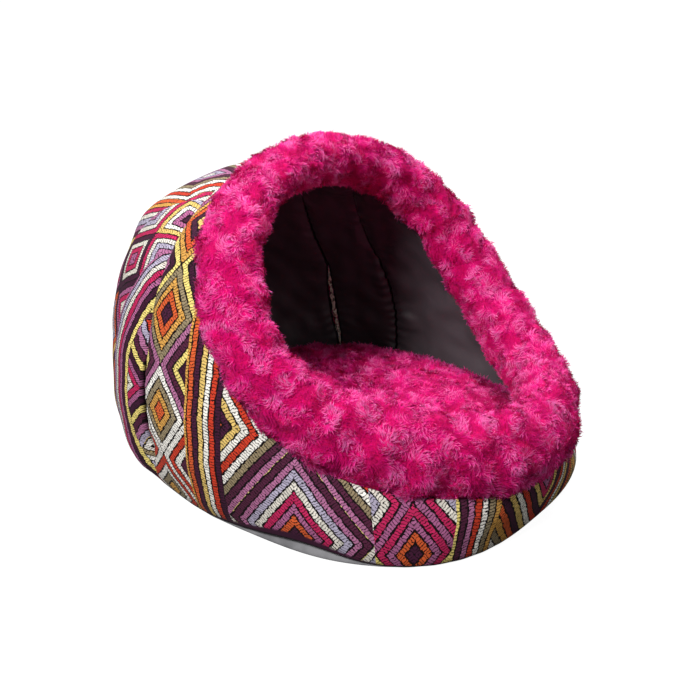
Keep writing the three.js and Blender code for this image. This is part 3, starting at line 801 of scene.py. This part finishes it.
def make_pile_tree():
    """Strands scattered over a surface, each pointing along the surface's own nap."""
    tree = bpy.data.node_groups.new("pile", "GeometryNodeTree")
    face = tree.interface
    face.new_socket("Geometry", in_out="OUTPUT", socket_type="NodeSocketGeometry")
    face.new_socket("Geometry", in_out="INPUT", socket_type="NodeSocketGeometry")
    for title, kind, value in (
        ("Strand", "NodeSocketObject", None),
        ("Material", "NodeSocketMaterial", None),
        ("Density", "NodeSocketFloat", 400000.0),
        ("Apart", "NodeSocketFloat", 0.0008),
        ("Length", "NodeSocketFloat", 8.0),
        ("Stray", "NodeSocketFloat", 0.42),
        ("Seed", "NodeSocketInt", 1),
    ):
        socket = face.new_socket(title, in_out="INPUT", socket_type=kind)
        if value is not None:
            socket.default_value = value
    g = Tree(tree)
    given = g.node("NodeGroupInput").outputs
    scatter = g.node(
        "GeometryNodeDistributePointsOnFaces",
        {
            "Mesh": given["Geometry"],
            "Distance Min": given["Apart"],
            "Density Max": given["Density"],
            "Seed": given["Seed"],
        },
        distribute_method="POISSON",
    )
    nap = g.node("GeometryNodeInputNamedAttribute", {"Name": "nap"}, data_type="FLOAT_VECTOR")
    long = g.node("GeometryNodeInputNamedAttribute", {"Name": "long"}, data_type="FLOAT")

    def stray(seed_step, amount):
        range_and_seed = {0: (-1, -1, -1), 1: (1, 1, 1), "Seed": g.add(given["Seed"], seed_step)}
        some = g.node("FunctionNodeRandomValue", range_and_seed, data_type="FLOAT_VECTOR")
        return g.vector("SCALE", some.outputs[0], Scale=amount)

    way = g.vector("ADD", nap.outputs[0], stray(1.0, given["Stray"]))
    out = g.vector("ADD", scatter.outputs["Normal"], stray(2.0, 0.3))
    turned = g.node("FunctionNodeAlignRotationToVector", {"Vector": way}, axis="Z")
    faced = g.node(
        "FunctionNodeAlignRotationToVector",
        {"Rotation": turned.outputs[0], "Vector": out},
        axis="Y",
        pivot_axis="Z",
    )
    longer = {2: 0.7, 3: 1.25, "Seed": g.add(given["Seed"], 3.0)}
    uneven = g.node("FunctionNodeRandomValue", longer, data_type="FLOAT")
    size = g.mul(g.mul(given["Length"], uneven.outputs[1]), long.outputs[0])
    strand = g.node("GeometryNodeObjectInfo", {"Object": given["Strand"]}, transform_space="ORIGINAL")
    placed = g.node(
        "GeometryNodeInstanceOnPoints",
        {
            "Points": scatter.outputs["Points"],
            "Instance": strand.outputs["Geometry"],
            "Rotation": faced.outputs[0],
            "Scale": size,
        },
    )
    kept = g.node("GeometryNodeInputNamedAttribute", {"Name": "soft"}, data_type="FLOAT_VECTOR")
    grain = g.node("FunctionNodeRandomValue", {"Seed": g.add(given["Seed"], 4.0)}, data_type="FLOAT")
    stored = g.node(
        "GeometryNodeStoreNamedAttribute",
        {"Geometry": placed.outputs[0], "Name": "grain", "Value": grain.outputs[1]},
        data_type="FLOAT",
        domain="INSTANCE",
    )
    soft = g.node(
        "GeometryNodeStoreNamedAttribute",
        {"Geometry": stored.outputs[0], "Name": "soft", "Value": kept.outputs[0]},
        data_type="FLOAT_VECTOR",
        domain="INSTANCE",
    )
    real = g.node("GeometryNodeRealizeInstances", {"Geometry": soft.outputs[0]})
    paint = {"Geometry": real.outputs[0], "Material": given["Material"]}
    painted = g.node("GeometryNodeSetMaterial", paint)
    g.tree.links.new(painted.outputs[0], g.node("NodeGroupOutput").inputs[0])
    return tree


def grown(name, source, tree, material, **settings):
    """What a node tree grows on a source object, as a plain mesh object of its own."""
    modifier = source.modifiers.new("grow", "NODES")
    modifier.node_group = tree
    sockets = {s.name: s.identifier for s in tree.interface.items_tree if s.in_out == "INPUT"}
    for title, value in {"Material": material, **settings}.items():
        modifier[sockets[title]] = value
    shown = source.evaluated_get(bpy.context.evaluated_depsgraph_get())
    mesh = bpy.data.meshes.new_from_object(shown)
    mesh.name = name
    source.modifiers.remove(modifier)
    for attribute in [a.name for a in mesh.attributes if a.name in ("nap", "long", "id")]:
        mesh.attributes.remove(mesh.attributes[attribute])
    if not mesh.materials:
        mesh.materials.append(material)
    obj = bpy.data.objects.new(name, mesh)
    bpy.context.scene.collection.objects.link(obj)
    return obj


strand = make_strand()
pile_tree = make_pile_tree()

PILE_DENSITY, PILE_APART, PILE_LENGTH = 1100000.0, 0.00086, 6.3
CUSHION_APART = 1.16
ROLL_GRID = (440, 80)
ROLL_SINK, CUSHION_SINK = -2.4, -2.2


def make_roll():
    turn = np.linspace(0, TURN, ROLL_GRID[0] + 1)[:-1]
    angle = np.linspace(0, TURN, ROLL_GRID[1] + 1)[:-1]
    turn, angle = np.meshgrid(turn, angle, indexing="ij")
    girth = TURN * ROLL_RADIUS * 1.05
    height, hollow, nap = rosette_field(
        turn * RIM_LENGTH / TURN, angle * girth / TURN, 11, wrap=(RIM_LENGTH, girth)
    )
    points = roll_at(turn, angle, ROLL_SINK + height)
    smooth = roll_at(turn, angle, 0 * angle)
    nap, hollow, lean, long = combed(smooth, hollow, nap, 12, 16, 13)
    middle = roll_frame(np.interp(turn * RIM_LENGTH / TURN, RIM_RUN, RIM_T))[0]
    normal, way = nap_vectors(smooth, True, True, nap, lean, smooth - middle)
    bumpy, _ = nap_vectors(points, True, True, nap, lean, smooth - middle)
    soft = unit(lerp(normal, bumpy, RELIEF))
    faces = grid_faces(*ROLL_GRID, True, True)
    if signed_volume(points.reshape(-1, 3), faces) < 0:
        faces = faces[:, ::-1]
    flat = {"nap": way.reshape(-1, 3), "soft": soft.reshape(-1, 3)}
    flat.update(hollow=hollow.ravel(), long=long.ravel())
    body = new_mesh("roll_body", points, faces, None, plush_ground, **flat)
    piles = []
    half, rows = ROLL_GRID[0] // 2, faces // ROLL_GRID[1]
    on_right = (rows.min(axis=1) < half) & (rows.max(axis=1) <= half)
    for side, chosen in (("right", on_right), ("left", ~on_right)):
        source = new_mesh("source_" + side, points, faces[chosen], None, plush_ground, **flat)
        piles.append(
            grown("roll_pile_" + side, source, pile_tree, plush_strands, Strand=strand,
                  Density=PILE_DENSITY, Apart=PILE_APART, Length=PILE_LENGTH, Seed=5 + len(piles))
        )
        bpy.data.objects.remove(source)
    return body, piles


CUSHION_HALF_WIDTH, CUSHION_FRONT, CUSHION_BACK, CUSHION_PEAK = 168, 168, 190, -27
CUSHION_FLOOR, CUSHION_CROWN, CUSHION_EDGE = 5.3, 80, 35
CUSHION_COLUMNS, CUSHION_PILE_ROWS = 300, 53


def make_cushion():
    share = np.linspace(0.012, 0.972, 44)
    profile = [(s, lerp(CUSHION_CROWN, CUSHION_EDGE, s**3), min(1.0, s * 4)) for s in share]
    profile += [(0.99, 33.3, 0.5), (0.998, 31.4, 0.2), (0.992, 29.4, 0), (0.984, 28, 0), (0.99, 26.4, 0)]
    profile += [(0.999, 24.4, 0), (1, 21, 0), (0.999, 17.5, 0), (0.992, 13.8, 0), (0.975, 10.8, 0)]
    profile += [(0.945, 8.6, 0), (0.9, 7.1, 0), (0.85, 6.0, 0), (0.8, 5.4, 0)]
    profile += [(s, CUSHION_FLOOR, 0) for s in (0.6, 0.3, 0.02)]
    share, rise, lumpy = (np.array(c)[:, None] for c in zip(*profile))
    t = np.linspace(0, TURN, CUSHION_COLUMNS + 1)[:-1][None, :]
    p = 2 / base_power(t)
    length = np.where(np.cos(t) > 0, CUSHION_FRONT, CUSHION_BACK)
    x = share * CUSHION_HALF_WIDTH * signed_power(np.sin(t), p)
    y = lerp(CUSHION_PEAK, -length * signed_power(np.cos(t), p), share)
    bump = lumps(x * TURN / CUSHION_SPAN, y * TURN / CUSHION_SPAN, CUSHION_WAVES)
    smooth = vec(x, y, rise + lumpy * bump)
    step = np.linalg.norm(np.diff(smooth, axis=0), axis=2)
    run = np.concatenate([np.linalg.norm(smooth[:1] - vec(0, CUSHION_PEAK, CUSHION_CROWN), axis=2), step])
    run = np.cumsum(run, axis=0)
    away = np.arctan2(y - CUSHION_PEAK, x)
    height, hollow, nap = rosette_field(run * np.cos(away), run * np.sin(away), 23, span=260)
    up = np.clip((rise - 8) / 12, 0, 1)
    nap, hollow, lean, long = combed(smooth, hollow, nap - away, 14, 17, 15)
    outward = smooth - vec(0, CUSHION_PEAK, 12)
    normal, way = nap_vectors(smooth, False, True, nap, lean, outward)
    points = smooth + normal * ((CUSHION_SINK + height) * up)[..., None]
    bumpy, _ = nap_vectors(points, False, True, nap, lean, outward)
    soft = unit(lerp(normal, bumpy, RELIEF))
    for _ in range(3):
        deep = np.maximum(0, 1.0 - in_roll(points, 1.5))
        points = points - vec(0, 0, 1) * (deep * 34)[..., None]
    points[..., 2] = np.maximum(points[..., 2], CUSHION_FLOOR)
    flat_points, faces = capped(points, [points[0].mean(axis=0), points[-1].mean(axis=0)])
    values = {
        "nap": np.concatenate([way.reshape(-1, 3), way[0, :1], way[-1, :1]]),
        "soft": np.concatenate([soft.reshape(-1, 3), [[0, 0, 1], [0, 0, -1]]]),
        "hollow": np.concatenate([hollow.ravel(), [0.4, 0.4]]),
        "long": np.concatenate([long.ravel(), [0.8, 0.8]]),
    }
    body = new_mesh("cushion_body", flat_points, faces, None, plush_ground, **values)
    crown = points.shape[0] * points.shape[1]
    tops = [f for f in faces if min(f) < CUSHION_PILE_ROWS * points.shape[1] or crown in f]
    source = new_mesh("source_cushion", flat_points, tops, None, plush_ground, **values)
    pile = grown("cushion_pile", source, pile_tree, plush_strands, Strand=strand,
                 Density=PILE_DENSITY, Apart=PILE_APART * CUSHION_APART, Length=PILE_LENGTH, Seed=9)
    bpy.data.objects.remove(source)
    return body, pile


# ---------------------------------------------------------------- printed cover

GIRTH_T = np.linspace(0, math.pi, 361)
GIRTH_STEPS = np.diff(wall_at(GIRTH_T, 0.3), axis=0)[:, :2]
GIRTH_RUN = np.concatenate([[0], np.cumsum(np.linalg.norm(GIRTH_STEPS, axis=1))])
SIDE_FROM = 75 * RAD
SIDE_Y = float(wall_at(SIDE_FROM, 0.3)[1])
SIDE_RUN = float(np.interp(SIDE_FROM, GIRTH_T, GIRTH_RUN))
ARCH_MIDDLE = 40.0


def arch_table():
    """Angle about the middle of an upright slice through the hood, and the way along the wall to it."""
    share = np.linspace(0, ARCH_SHARE, 40)
    side = wall_at(plane_angle(share, 1, 100.0), share)
    t = np.linspace(plane_angle(np.array([ARCH_SHARE]), 1, 100.0)[0], math.pi, 60)[1:]
    over = wall_at(t, plane_share(t, 100.0))
    line = np.concatenate([side, over])[:, [0, 2]]
    angle = np.arctan2(line[:, 1] - ARCH_MIDDLE, line[:, 0])
    run = np.concatenate([[0], np.cumsum(np.linalg.norm(np.diff(line, axis=0), axis=1))])
    return angle, run


ARCH = arch_table()


def side_uv(t, v, p):
    """Place in the cloth of the side panel: way round from the front middle, and way up from the floor."""
    t = np.abs((t + math.pi) % TURN - math.pi)
    w = smoothstep(t, 58 * RAD, 88 * RAD)
    u = lerp(np.interp(t, GIRTH_T, GIRTH_RUN), SIDE_RUN + p[..., 1] - SIDE_Y, w)
    s = np.linspace(0, 1, 13)
    line = wall_at(t[..., None], np.asarray(v)[..., None] * s)
    up = np.linalg.norm(np.diff(line, axis=-2), axis=-1).sum(axis=-1)
    angle = np.arctan2(p[..., 2] - ARCH_MIDDLE, np.abs(p[..., 0]))
    arch = np.interp(angle, *ARCH)
    return np.stack([u, lerp(up, arch, w)], axis=-1)


def back_uv(p):
    """Place in the cloth of the back panel: its way out from the middle of the dome."""
    off = p - vec(0, BACK_SEAM_Y - 8, 112)
    tilt = np.arctan2(np.hypot(off[..., 0], off[..., 2]), off[..., 1])
    away = np.arctan2(off[..., 2], off[..., 0])
    reach = 0.5 * (np.linalg.norm(off, axis=-1) + 150)
    return np.stack([reach * tilt * np.cos(away) + 30, reach * tilt * np.sin(away) + 260], axis=-1)


def seam_pinch(beyond, height):
    width = np.where(beyond > 0, 16.0, 9.0)
    return 6 * np.exp(-np.abs(beyond) / width) * np.clip(height / 30, 0, 1)


def back_puff(beyond, height):
    swell = 3.5 + 5 * bell(height - 42, 45)
    ends = np.clip(height / 14, 0, 1) * (1 - smoothstep(height, 200, 270))
    return swell * ends * (1 - np.exp(-np.maximum(0, beyond) / 16))


# places on the right (and mirrored on the left) where the filling swells the cover, how far and how wide
STUFFED = (((60, 197, 241), 9.0, 36), ((153, 138, 16), 6.5, 30))
GROOVE_DEEP, GROOVE_WIDE = 3.4, 3.2
PUCKER_DEEP, PUCKER_REACH, PUCKER_PITCH = 0.75, 13, 14.5
GATHER_DEEP, GATHER_REACH, GATHER_PITCH = 0.7, 12, 19


def cover_face(t, v, run_along):
    """The cover's outer face, with soft unevenness in the padding and puckers beside its seams."""
    p = wall_at(t, v)
    beyond, height = p[..., 1] - BACK_SEAM_Y, p[..., 2]
    soft = 0.9 * waves(p, 95, 21) + 0.45 * waves(p, 42, 22)
    low = np.clip(height / 30, 0, 1)
    groove = GROOVE_DEEP * np.exp(-np.abs(beyond) / GROOVE_WIDE) * low
    seam = np.exp(-np.abs(beyond) / PUCKER_REACH) * low
    pucker = PUCKER_DEEP * seam * np.sin(run_along * TURN / PUCKER_PITCH + 2.2 * waves(p, 60, 23))
    roll_near = np.exp(-np.maximum(0, (in_roll(p) - 1)) * 30 / GATHER_REACH)
    gather = GATHER_DEEP * roll_near * np.sin(run_along * TURN / GATHER_PITCH + 2 * waves(p, 70, 24))
    foot = np.clip((height - hem_shown(t)) / 14, 0, 1)
    depth = seam_pinch(beyond, height) + groove - back_puff(beyond, height)
    depth = depth - (soft + pucker) * foot - gather * foot
    mirrored = vec(np.abs(p[..., 0]), p[..., 1], p[..., 2])
    full = sum(far * bell(np.linalg.norm(mirrored - at, axis=-1), wide) for at, far, wide in STUFFED)
    return p - wall_normal(t, v) * depth[..., None] + outward_at(t) * full[..., None]


def cover_back(t, v):
    return wall_at(t, v) - wall_normal(t, v) * COVER_THICK


def stop_at_roll(t_of, v_of, count):
    """The share along each of count paths at which the wall reaches the plush roll."""
    return bisect(lambda s: in_roll(wall_at(t_of(s), v_of(s))) > 1.0, 0.35, 1.0, (count,))


def side_columns(side, numbers):
    edge = BACK_SEAM_Y - GAP / 2
    foot = plane_angle(np.array([SEAM_FOOT]), side, edge)[0]
    shoulder = plane_angle(np.array([ARCH_SHARE]), side, edge)[0]
    s = 1 - (1 - np.linspace(0, 1, numbers[0] + 1)) ** 1.35
    t, low, up = [foot * s], [np.full(len(s), np.nan)], [side * 96 * RAD * s]
    s = np.linspace(0, 1, numbers[1] + 1)[1:]
    v = lerp(SEAM_FOOT, ARCH_SHARE, s)
    t.append(plane_angle(v, side, edge))
    low.append(v)
    up.append(side * lerp(96, 122, s) * RAD)
    s = np.linspace(0, 1, numbers[2] + 1)[1:]
    over = lerp(shoulder, side * math.pi, s)
    t.append(over)
    low.append(plane_share(over, edge))
    up.append(side * lerp(122, 180, s) * RAD)
    t, low, up = (np.concatenate(c) for c in (t, low, up))
    floor = share_at_height(t, hem_shown(t) + GAP)
    return t, np.where(np.isnan(low), floor, low), up


def hem_mark(t, p):
    """1 on the plain plum band along the hem, 0 above it."""
    wide = 1.2 + 8 * bell((t / RAD + 79 + 180) % 360 - 180, 15)
    return 1 - smoothstep(p[..., 2] - hem_shown(t), wide - 1, wide + 1)


def make_side_panel():
    numbers, rows = (62, 26, 34), 46
    right, left = side_columns(1, numbers), side_columns(-1, numbers)
    t, low, up = (np.concatenate([l[1:][::-1], r[:-1]]) for l, r in zip(left, right))
    s = np.linspace(0, 1, rows)

    def t_of(s):
        return lerp(t, up, s**1.3)

    def v_of(s):
        return lerp(low, 1, s)

    end = stop_at_roll(t_of, v_of, len(t))
    at = np.outer(end, s)
    tt = t[:, None] + (up - t)[:, None] * at**1.3
    vv = low[:, None] + (1 - low)[:, None] * at
    p = wall_at(tt, vv)
    uv = side_uv(tt, vv, p)
    round_it = np.where(np.abs(tt) > 80 * RAD, uv[..., 1], uv[..., 0])
    outer = cover_face(tt, vv, round_it)
    inner = cover_back(tt, vv)
    slab = (outer, inner, uv, {"hem": hem_mark(tt, p)}, True)
    return join_slabs("side_panel_cloth", [slab], cover_cloth)


def make_back_panel():
    edge = BACK_SEAM_Y + GAP / 2
    across = (1 - np.cos(np.linspace(0, math.pi, 110))) / 2 * 0.5 + np.linspace(0, 1, 110) * 0.5
    w = np.sin(np.linspace(0, math.pi / 2, 76)) * 0.6 + np.linspace(0, 1, 76) * 0.4
    share = np.maximum(SEAM_FOOT, w * ARCH_SHARE)
    start, stop = plane_angle(share, 1, edge), plane_angle(share, -1, edge) + TURN
    t = start[None, :] + (stop - start)[None, :] * across[:, None]
    low = share_at_height(t, hem_shown(t) + GAP)
    high = plane_share(t, edge)
    v = low + (high - low) * w[None, :]
    p = wall_at(t, v)
    uv = back_uv(p)
    angle = np.arctan2(p[..., 2] - ARCH_MIDDLE, np.abs(p[..., 0]))
    outer = cover_face(t, v, np.interp(angle, *ARCH))
    slab = (outer, cover_back(t, v), uv, {"hem": hem_mark(t, p)}, False)
    return join_slabs("back_panel_cloth", [slab], cover_cloth)


# ---------------------------------------------------------------- lining


def seam_angle(table, v):
    return np.interp(v, table[1], table[0]) * RAD


def slit_open(v):
    return np.sin(math.pi * np.clip((v - SLIT_LOW) / (SLIT_HIGH - SLIT_LOW), 0, 1))


def seam_room(v, slit):
    return (SLIT_HALF * slit_open(v) if slit else 0 * v) / BASE_HALF[0]


def lining_fold(t, v):
    degrees = np.abs((t / RAD + 180) % 360 - 180)
    pulls = np.sin(degrees * 0.32 + v * 21) * np.sin(degrees * 0.11 - v * 13 + 1)
    shelf = bell(v - 0.3 - (110 - degrees) * 0.012, 0.07) * bell(degrees - 100, 16)
    ends = np.clip(v * 4, 0, 1) * np.clip((1 - v) * 4, 0, 1)
    return LINING_FOLD * (0.5 + 0.5 * pulls) * ends + 1.6 * shelf


def near_seam(v):
    return seam_angle(SEAM_NEAR, v)


def far_seam(v):
    return seam_angle(SEAM_FAR, v)


# name, where the panel starts and stops round the bed, its columns, and whether the slit is at either edge
LINING_PANELS = (
    ("lining_sides", lambda v: -near_seam(v), near_seam, 170, False, False),
    ("lining_gusset_right", near_seam, far_seam, 30, False, True),
    ("lining_back", far_seam, lambda v: TURN - far_seam(v), 90, True, False),
    ("lining_gusset_left", lambda v: TURN - far_seam(v), lambda v: TURN - near_seam(v), 30, False, False),
)


def lining_at(t, v, edge, depth):
    p = wall_at(t, v)
    full = 1 - bell(edge, SEAM_ROUND)
    beside = np.exp(-edge / 10) * smoothstep(waves(p, 38, 34), -1.3, 0.5)
    pucker = 3.4 * beside * (0.5 + 0.5 * np.sin(p[..., 2] * TURN / 10 + 2.5 * waves(p, 40, 31)))
    depth = depth * (0.25 + 0.75 * (1 - np.exp(-edge / 2.2)))
    ends = np.clip((v - LINING_FOOT) * 9, 0, 1) * np.clip((1 - v) * 5, 0, 1)
    soft = 1.3 + 1.2 * waves(p, 46, 32) + 0.7 * waves(p, 23, 33)
    fold = lining_fold(t, v) * full + (pucker + np.maximum(0, soft) * full) * ends
    return p - wall_normal(t, v) * (LINING_DEPTH + depth + fold)[..., None]


def make_lining():
    made = []
    for name, start, stop, columns, slit_before, slit_after in LINING_PANELS:
        s = np.linspace(0, 1, columns)
        s = lerp(s, (1 - np.cos(math.pi * s)) / 2, 0.35)

        def t_of(v):
            a, b = start(v) + seam_room(v, slit_before), stop(v) - seam_room(v, slit_after)
            return a + (b - a) * s

        end = bisect(lambda v: in_roll(wall_at(t_of(v), v)) > 1.0, 0.35, 1.0, (columns,))
        rows = np.linspace(0, 1, 84)
        vv = LINING_FOOT + (end[:, None] - LINING_FOOT) * rows[None, :]
        a = start(vv) + seam_room(vv, slit_before)
        b = stop(vv) - seam_room(vv, slit_after)
        tt = a + (b - a) * s[:, None]
        edge = np.minimum(s, 1 - s)[:, None] * (b - a) * BASE_HALF[0]
        uv = np.stack([np.abs(tt) * 180, vv * 260], axis=-1)
        # near: closeness to the panel's edges, for painted shade along the seams, a little weaker higher up
        # the wall
        near = np.exp(-edge / 3) * (1 - 0.3 * smoothstep(vv, 0.5, 0.8))
        front, behind = lining_at(tt, vv, edge, LINING_THICK), lining_at(tt, vv, edge, 0)
        made.append(join_slabs(name + "_cloth", [(behind, front, uv, {"near": near}, False)], lining_cloth))
    return made


def make_slit_facing():
    v = np.linspace(SLIT_LOW + 0.03, SLIT_HIGH - 0.03, 60)
    ragged = 0.8 + 0.25 * np.sin(v * 190) * np.sin(v * 77 + 1)
    half = SLIT_HALF * SLIT_SHOWN * slit_open(v) * ragged / BASE_HALF[0]
    aside = np.linspace(-1, 1, 7)
    t = seam_angle(SEAM_FAR, v)[:, None] + half[:, None] * aside[None, :]
    vv = np.broadcast_to(v[:, None], t.shape)
    p, normal = wall_at(t, vv), wall_normal(t, vv)
    round_it = 0.5 * (1 - aside[None, :] ** 2) + 0.25 * waves(p, 9, 41)
    outer = p - normal * LINING_DEPTH
    inner = p - normal * (LINING_DEPTH + SLIT_THICK + round_it)[..., None]
    uv = np.stack([t * 180 * 6, vv * 1500], axis=-1)
    return join_slabs("slit_facing_cloth", [(outer, inner, uv, {}, False)], facing_cloth)


def make_base_panel():
    t = np.linspace(0, TURN, 241)[:-1]
    hem = hem_shown(t)
    peek = BASE_PEEK * bell((t / RAD + 75 + 180) % 360 - 180, 15)

    def ring(inset, height, ripple=0.0):
        out = peek * np.clip(1 - height / np.maximum(hem, 1), 0, 1) * (inset < 3)
        ripples = ripple * np.sin(t * 46 + 2 * np.sin(5 * t))
        p = base_at(t) + outward_at(t) * (-TUCK_DEPTH - inset + ripples + out)[..., None]
        p[:, 2] = height
        return p

    rings = [
        ring(120, 0), ring(40, 0), ring(3, 0), ring(1.7, hem * 0.04), ring(0.9, hem * 0.12, 0.1),
        ring(0.2, hem * 0.3, 0.25), ring(0, hem * 0.55, 0.3), ring(0.25, hem * 0.78, 0.25),
        ring(0.6, hem * 0.93, 0.2), ring(1.1, hem * 0.99), ring(2, hem), ring(COVER_THICK, hem),
        ring(COVER_THICK + 9, BASE_THICK), ring(60, BASE_THICK), ring(120, BASE_THICK),
    ]
    points, faces = capped(np.array(rings), [[0, 0, 0], [0, 0, BASE_THICK]])
    return new_mesh("base_panel_cloth", points, faces, None, base_cloth)


# ---------------------------------------------------------------- put it together

roll_body, roll_piles = make_roll()
cushion_body, cushion_pile = make_cushion()
side_cloth = make_side_panel()
back_cloth = make_back_panel()
lining = make_lining()
slit_cloth = make_slit_facing()
base = make_base_panel()
bpy.data.objects.remove(strand)

plush = [roll_body, *roll_piles, cushion_body, cushion_pile]

for obj in (*plush, side_cloth, back_cloth, *lining, slit_cloth, base):
    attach(obj, "root")

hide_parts("plush_roll")
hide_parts("cushion")
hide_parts("side_panel")
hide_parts("back_panel")
for obj, (name, *_) in zip(lining, LINING_PANELS):
    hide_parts(name)
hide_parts("slit_facing")
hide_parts("base_panel")


def cloth_area(obj):
    """Half of the area of a thin closed mesh, in square metres."""
    area = np.empty(len(obj.data.polygons), dtype=np.float32)
    obj.data.polygons.foreach_get("area", area)
    return float(area.sum()) / 2


SHEETS = {
    "side_panel_cloth": ((1.30, 0.30), "stretched", ["base_panel_cloth"]),
    "back_panel_cloth": ((0.52, 0.36), "stretched", ["base_panel_cloth"]),
    "lining_sides_cloth": ((0.86, 0.24), "stretched", ["side_panel_cloth"]),
    "lining_gusset_right_cloth": ((0.075, 0.30), "stretched", ["side_panel_cloth"]),
    "lining_back_cloth": ((0.42, 0.34), "stretched", ["back_panel_cloth"]),
    "lining_gusset_left_cloth": ((0.075, 0.30), "stretched", ["side_panel_cloth"]),
    "slit_facing_cloth": ((0.01, 0.1), "stretched", ["lining_back_cloth"]),
    "base_panel_cloth": ((0.36, 0.432), "laid", []),
}
for name, (flat, held, rests_on) in SHEETS.items():
    obj = bpy.data.objects[name]
    area = cloth_area(obj)

# ---------------------------------------------------------------- light, floor and camera

floor_mesh = bpy.data.meshes.new("floor")
floor_mesh.from_pydata([(-30, -30, 0), (30, -30, 0), (30, 30, 0), (-30, 30, 0)], [], [(0, 1, 2, 3)])
floor = bpy.data.objects.new("floor", floor_mesh)
bpy.context.scene.collection.objects.link(floor)
floor_paint, floor_tree, floor_shader = new_material("white_floor", Roughness=1.0)
floor_shader.inputs["Base Color"].default_value = (0.12, 0.12, 0.12, 1)
floor_shader.inputs["Specular IOR Level"].default_value = 0.0
seen = floor_tree.node("ShaderNodeLightPath").outputs["Is Camera Ray"]
floor_shader.inputs["Emission Color"].default_value = (1, 1, 1, 1)
floor_tree.put(floor_shader.inputs["Emission Strength"], floor_tree.mul(seen, 0.96))
floor_mesh.materials.append(floor_paint)
floor.location.z = -0.0005


def area_light(name, place, target, size, power, colour=(1, 1, 1)):
    data = bpy.data.lights.new(name, "AREA")
    data.shape, data.size, data.energy, data.color = "DISK", size, power, colour
    light = bpy.data.objects.new(name, data)
    light.location = place
    light.rotation_euler = (Vector(target) - Vector(place)).to_track_quat("-Z", "Y").to_euler()
    bpy.context.scene.collection.objects.link(light)


MIDDLE = (0, 0, 0.14)
AMBIENT = 0.3
area_light("key", (-1.72, 0.02, 1.7), MIDDLE, 0.6, 57)
area_light("top", (0.9, -0.1, 2.1), MIDDLE, 1.2, 44)
area_light("back", (1.5, 1.1, 1.7), MIDDLE, 1.0, 16)

world = bpy.data.worlds.new("white_room")
world.use_nodes = True
world_tree = Tree(world.node_tree)
seen = world_tree.node("ShaderNodeLightPath").outputs["Is Camera Ray"]
background = world.node_tree.nodes["Background"].inputs
background["Color"].default_value = (1, 1, 1, 1)
world_tree.put(background["Strength"], world_tree.madd(seen, 1.0 - AMBIENT, AMBIENT))
bpy.context.scene.world = world
bpy.context.scene.view_settings.view_transform = "Standard"

camera_data = bpy.data.cameras.new("camera")
camera_data.lens, camera_data.sensor_width, camera_data.sensor_fit = 84.515, 36, "HORIZONTAL"
camera = bpy.data.objects.new("camera", camera_data)
CAMERA_TARGET = Vector((-0.00516, -0.00144, 0.12093))
CAMERA_AZIMUTH, CAMERA_ELEVATION, CAMERA_DISTANCE = -54.597 * RAD, 25.436 * RAD, 1.62673
toward = Vector(
    (
        math.sin(CAMERA_AZIMUTH) * math.cos(CAMERA_ELEVATION),
        -math.cos(CAMERA_AZIMUTH) * math.cos(CAMERA_ELEVATION),
        math.sin(CAMERA_ELEVATION),
    )
)
camera.location = CAMERA_TARGET + toward * CAMERA_DISTANCE
camera.rotation_euler = (-toward).to_track_quat("-Z", "Y").to_euler()
bpy.context.scene.collection.objects.link(camera)
bpy.context.scene.camera = camera
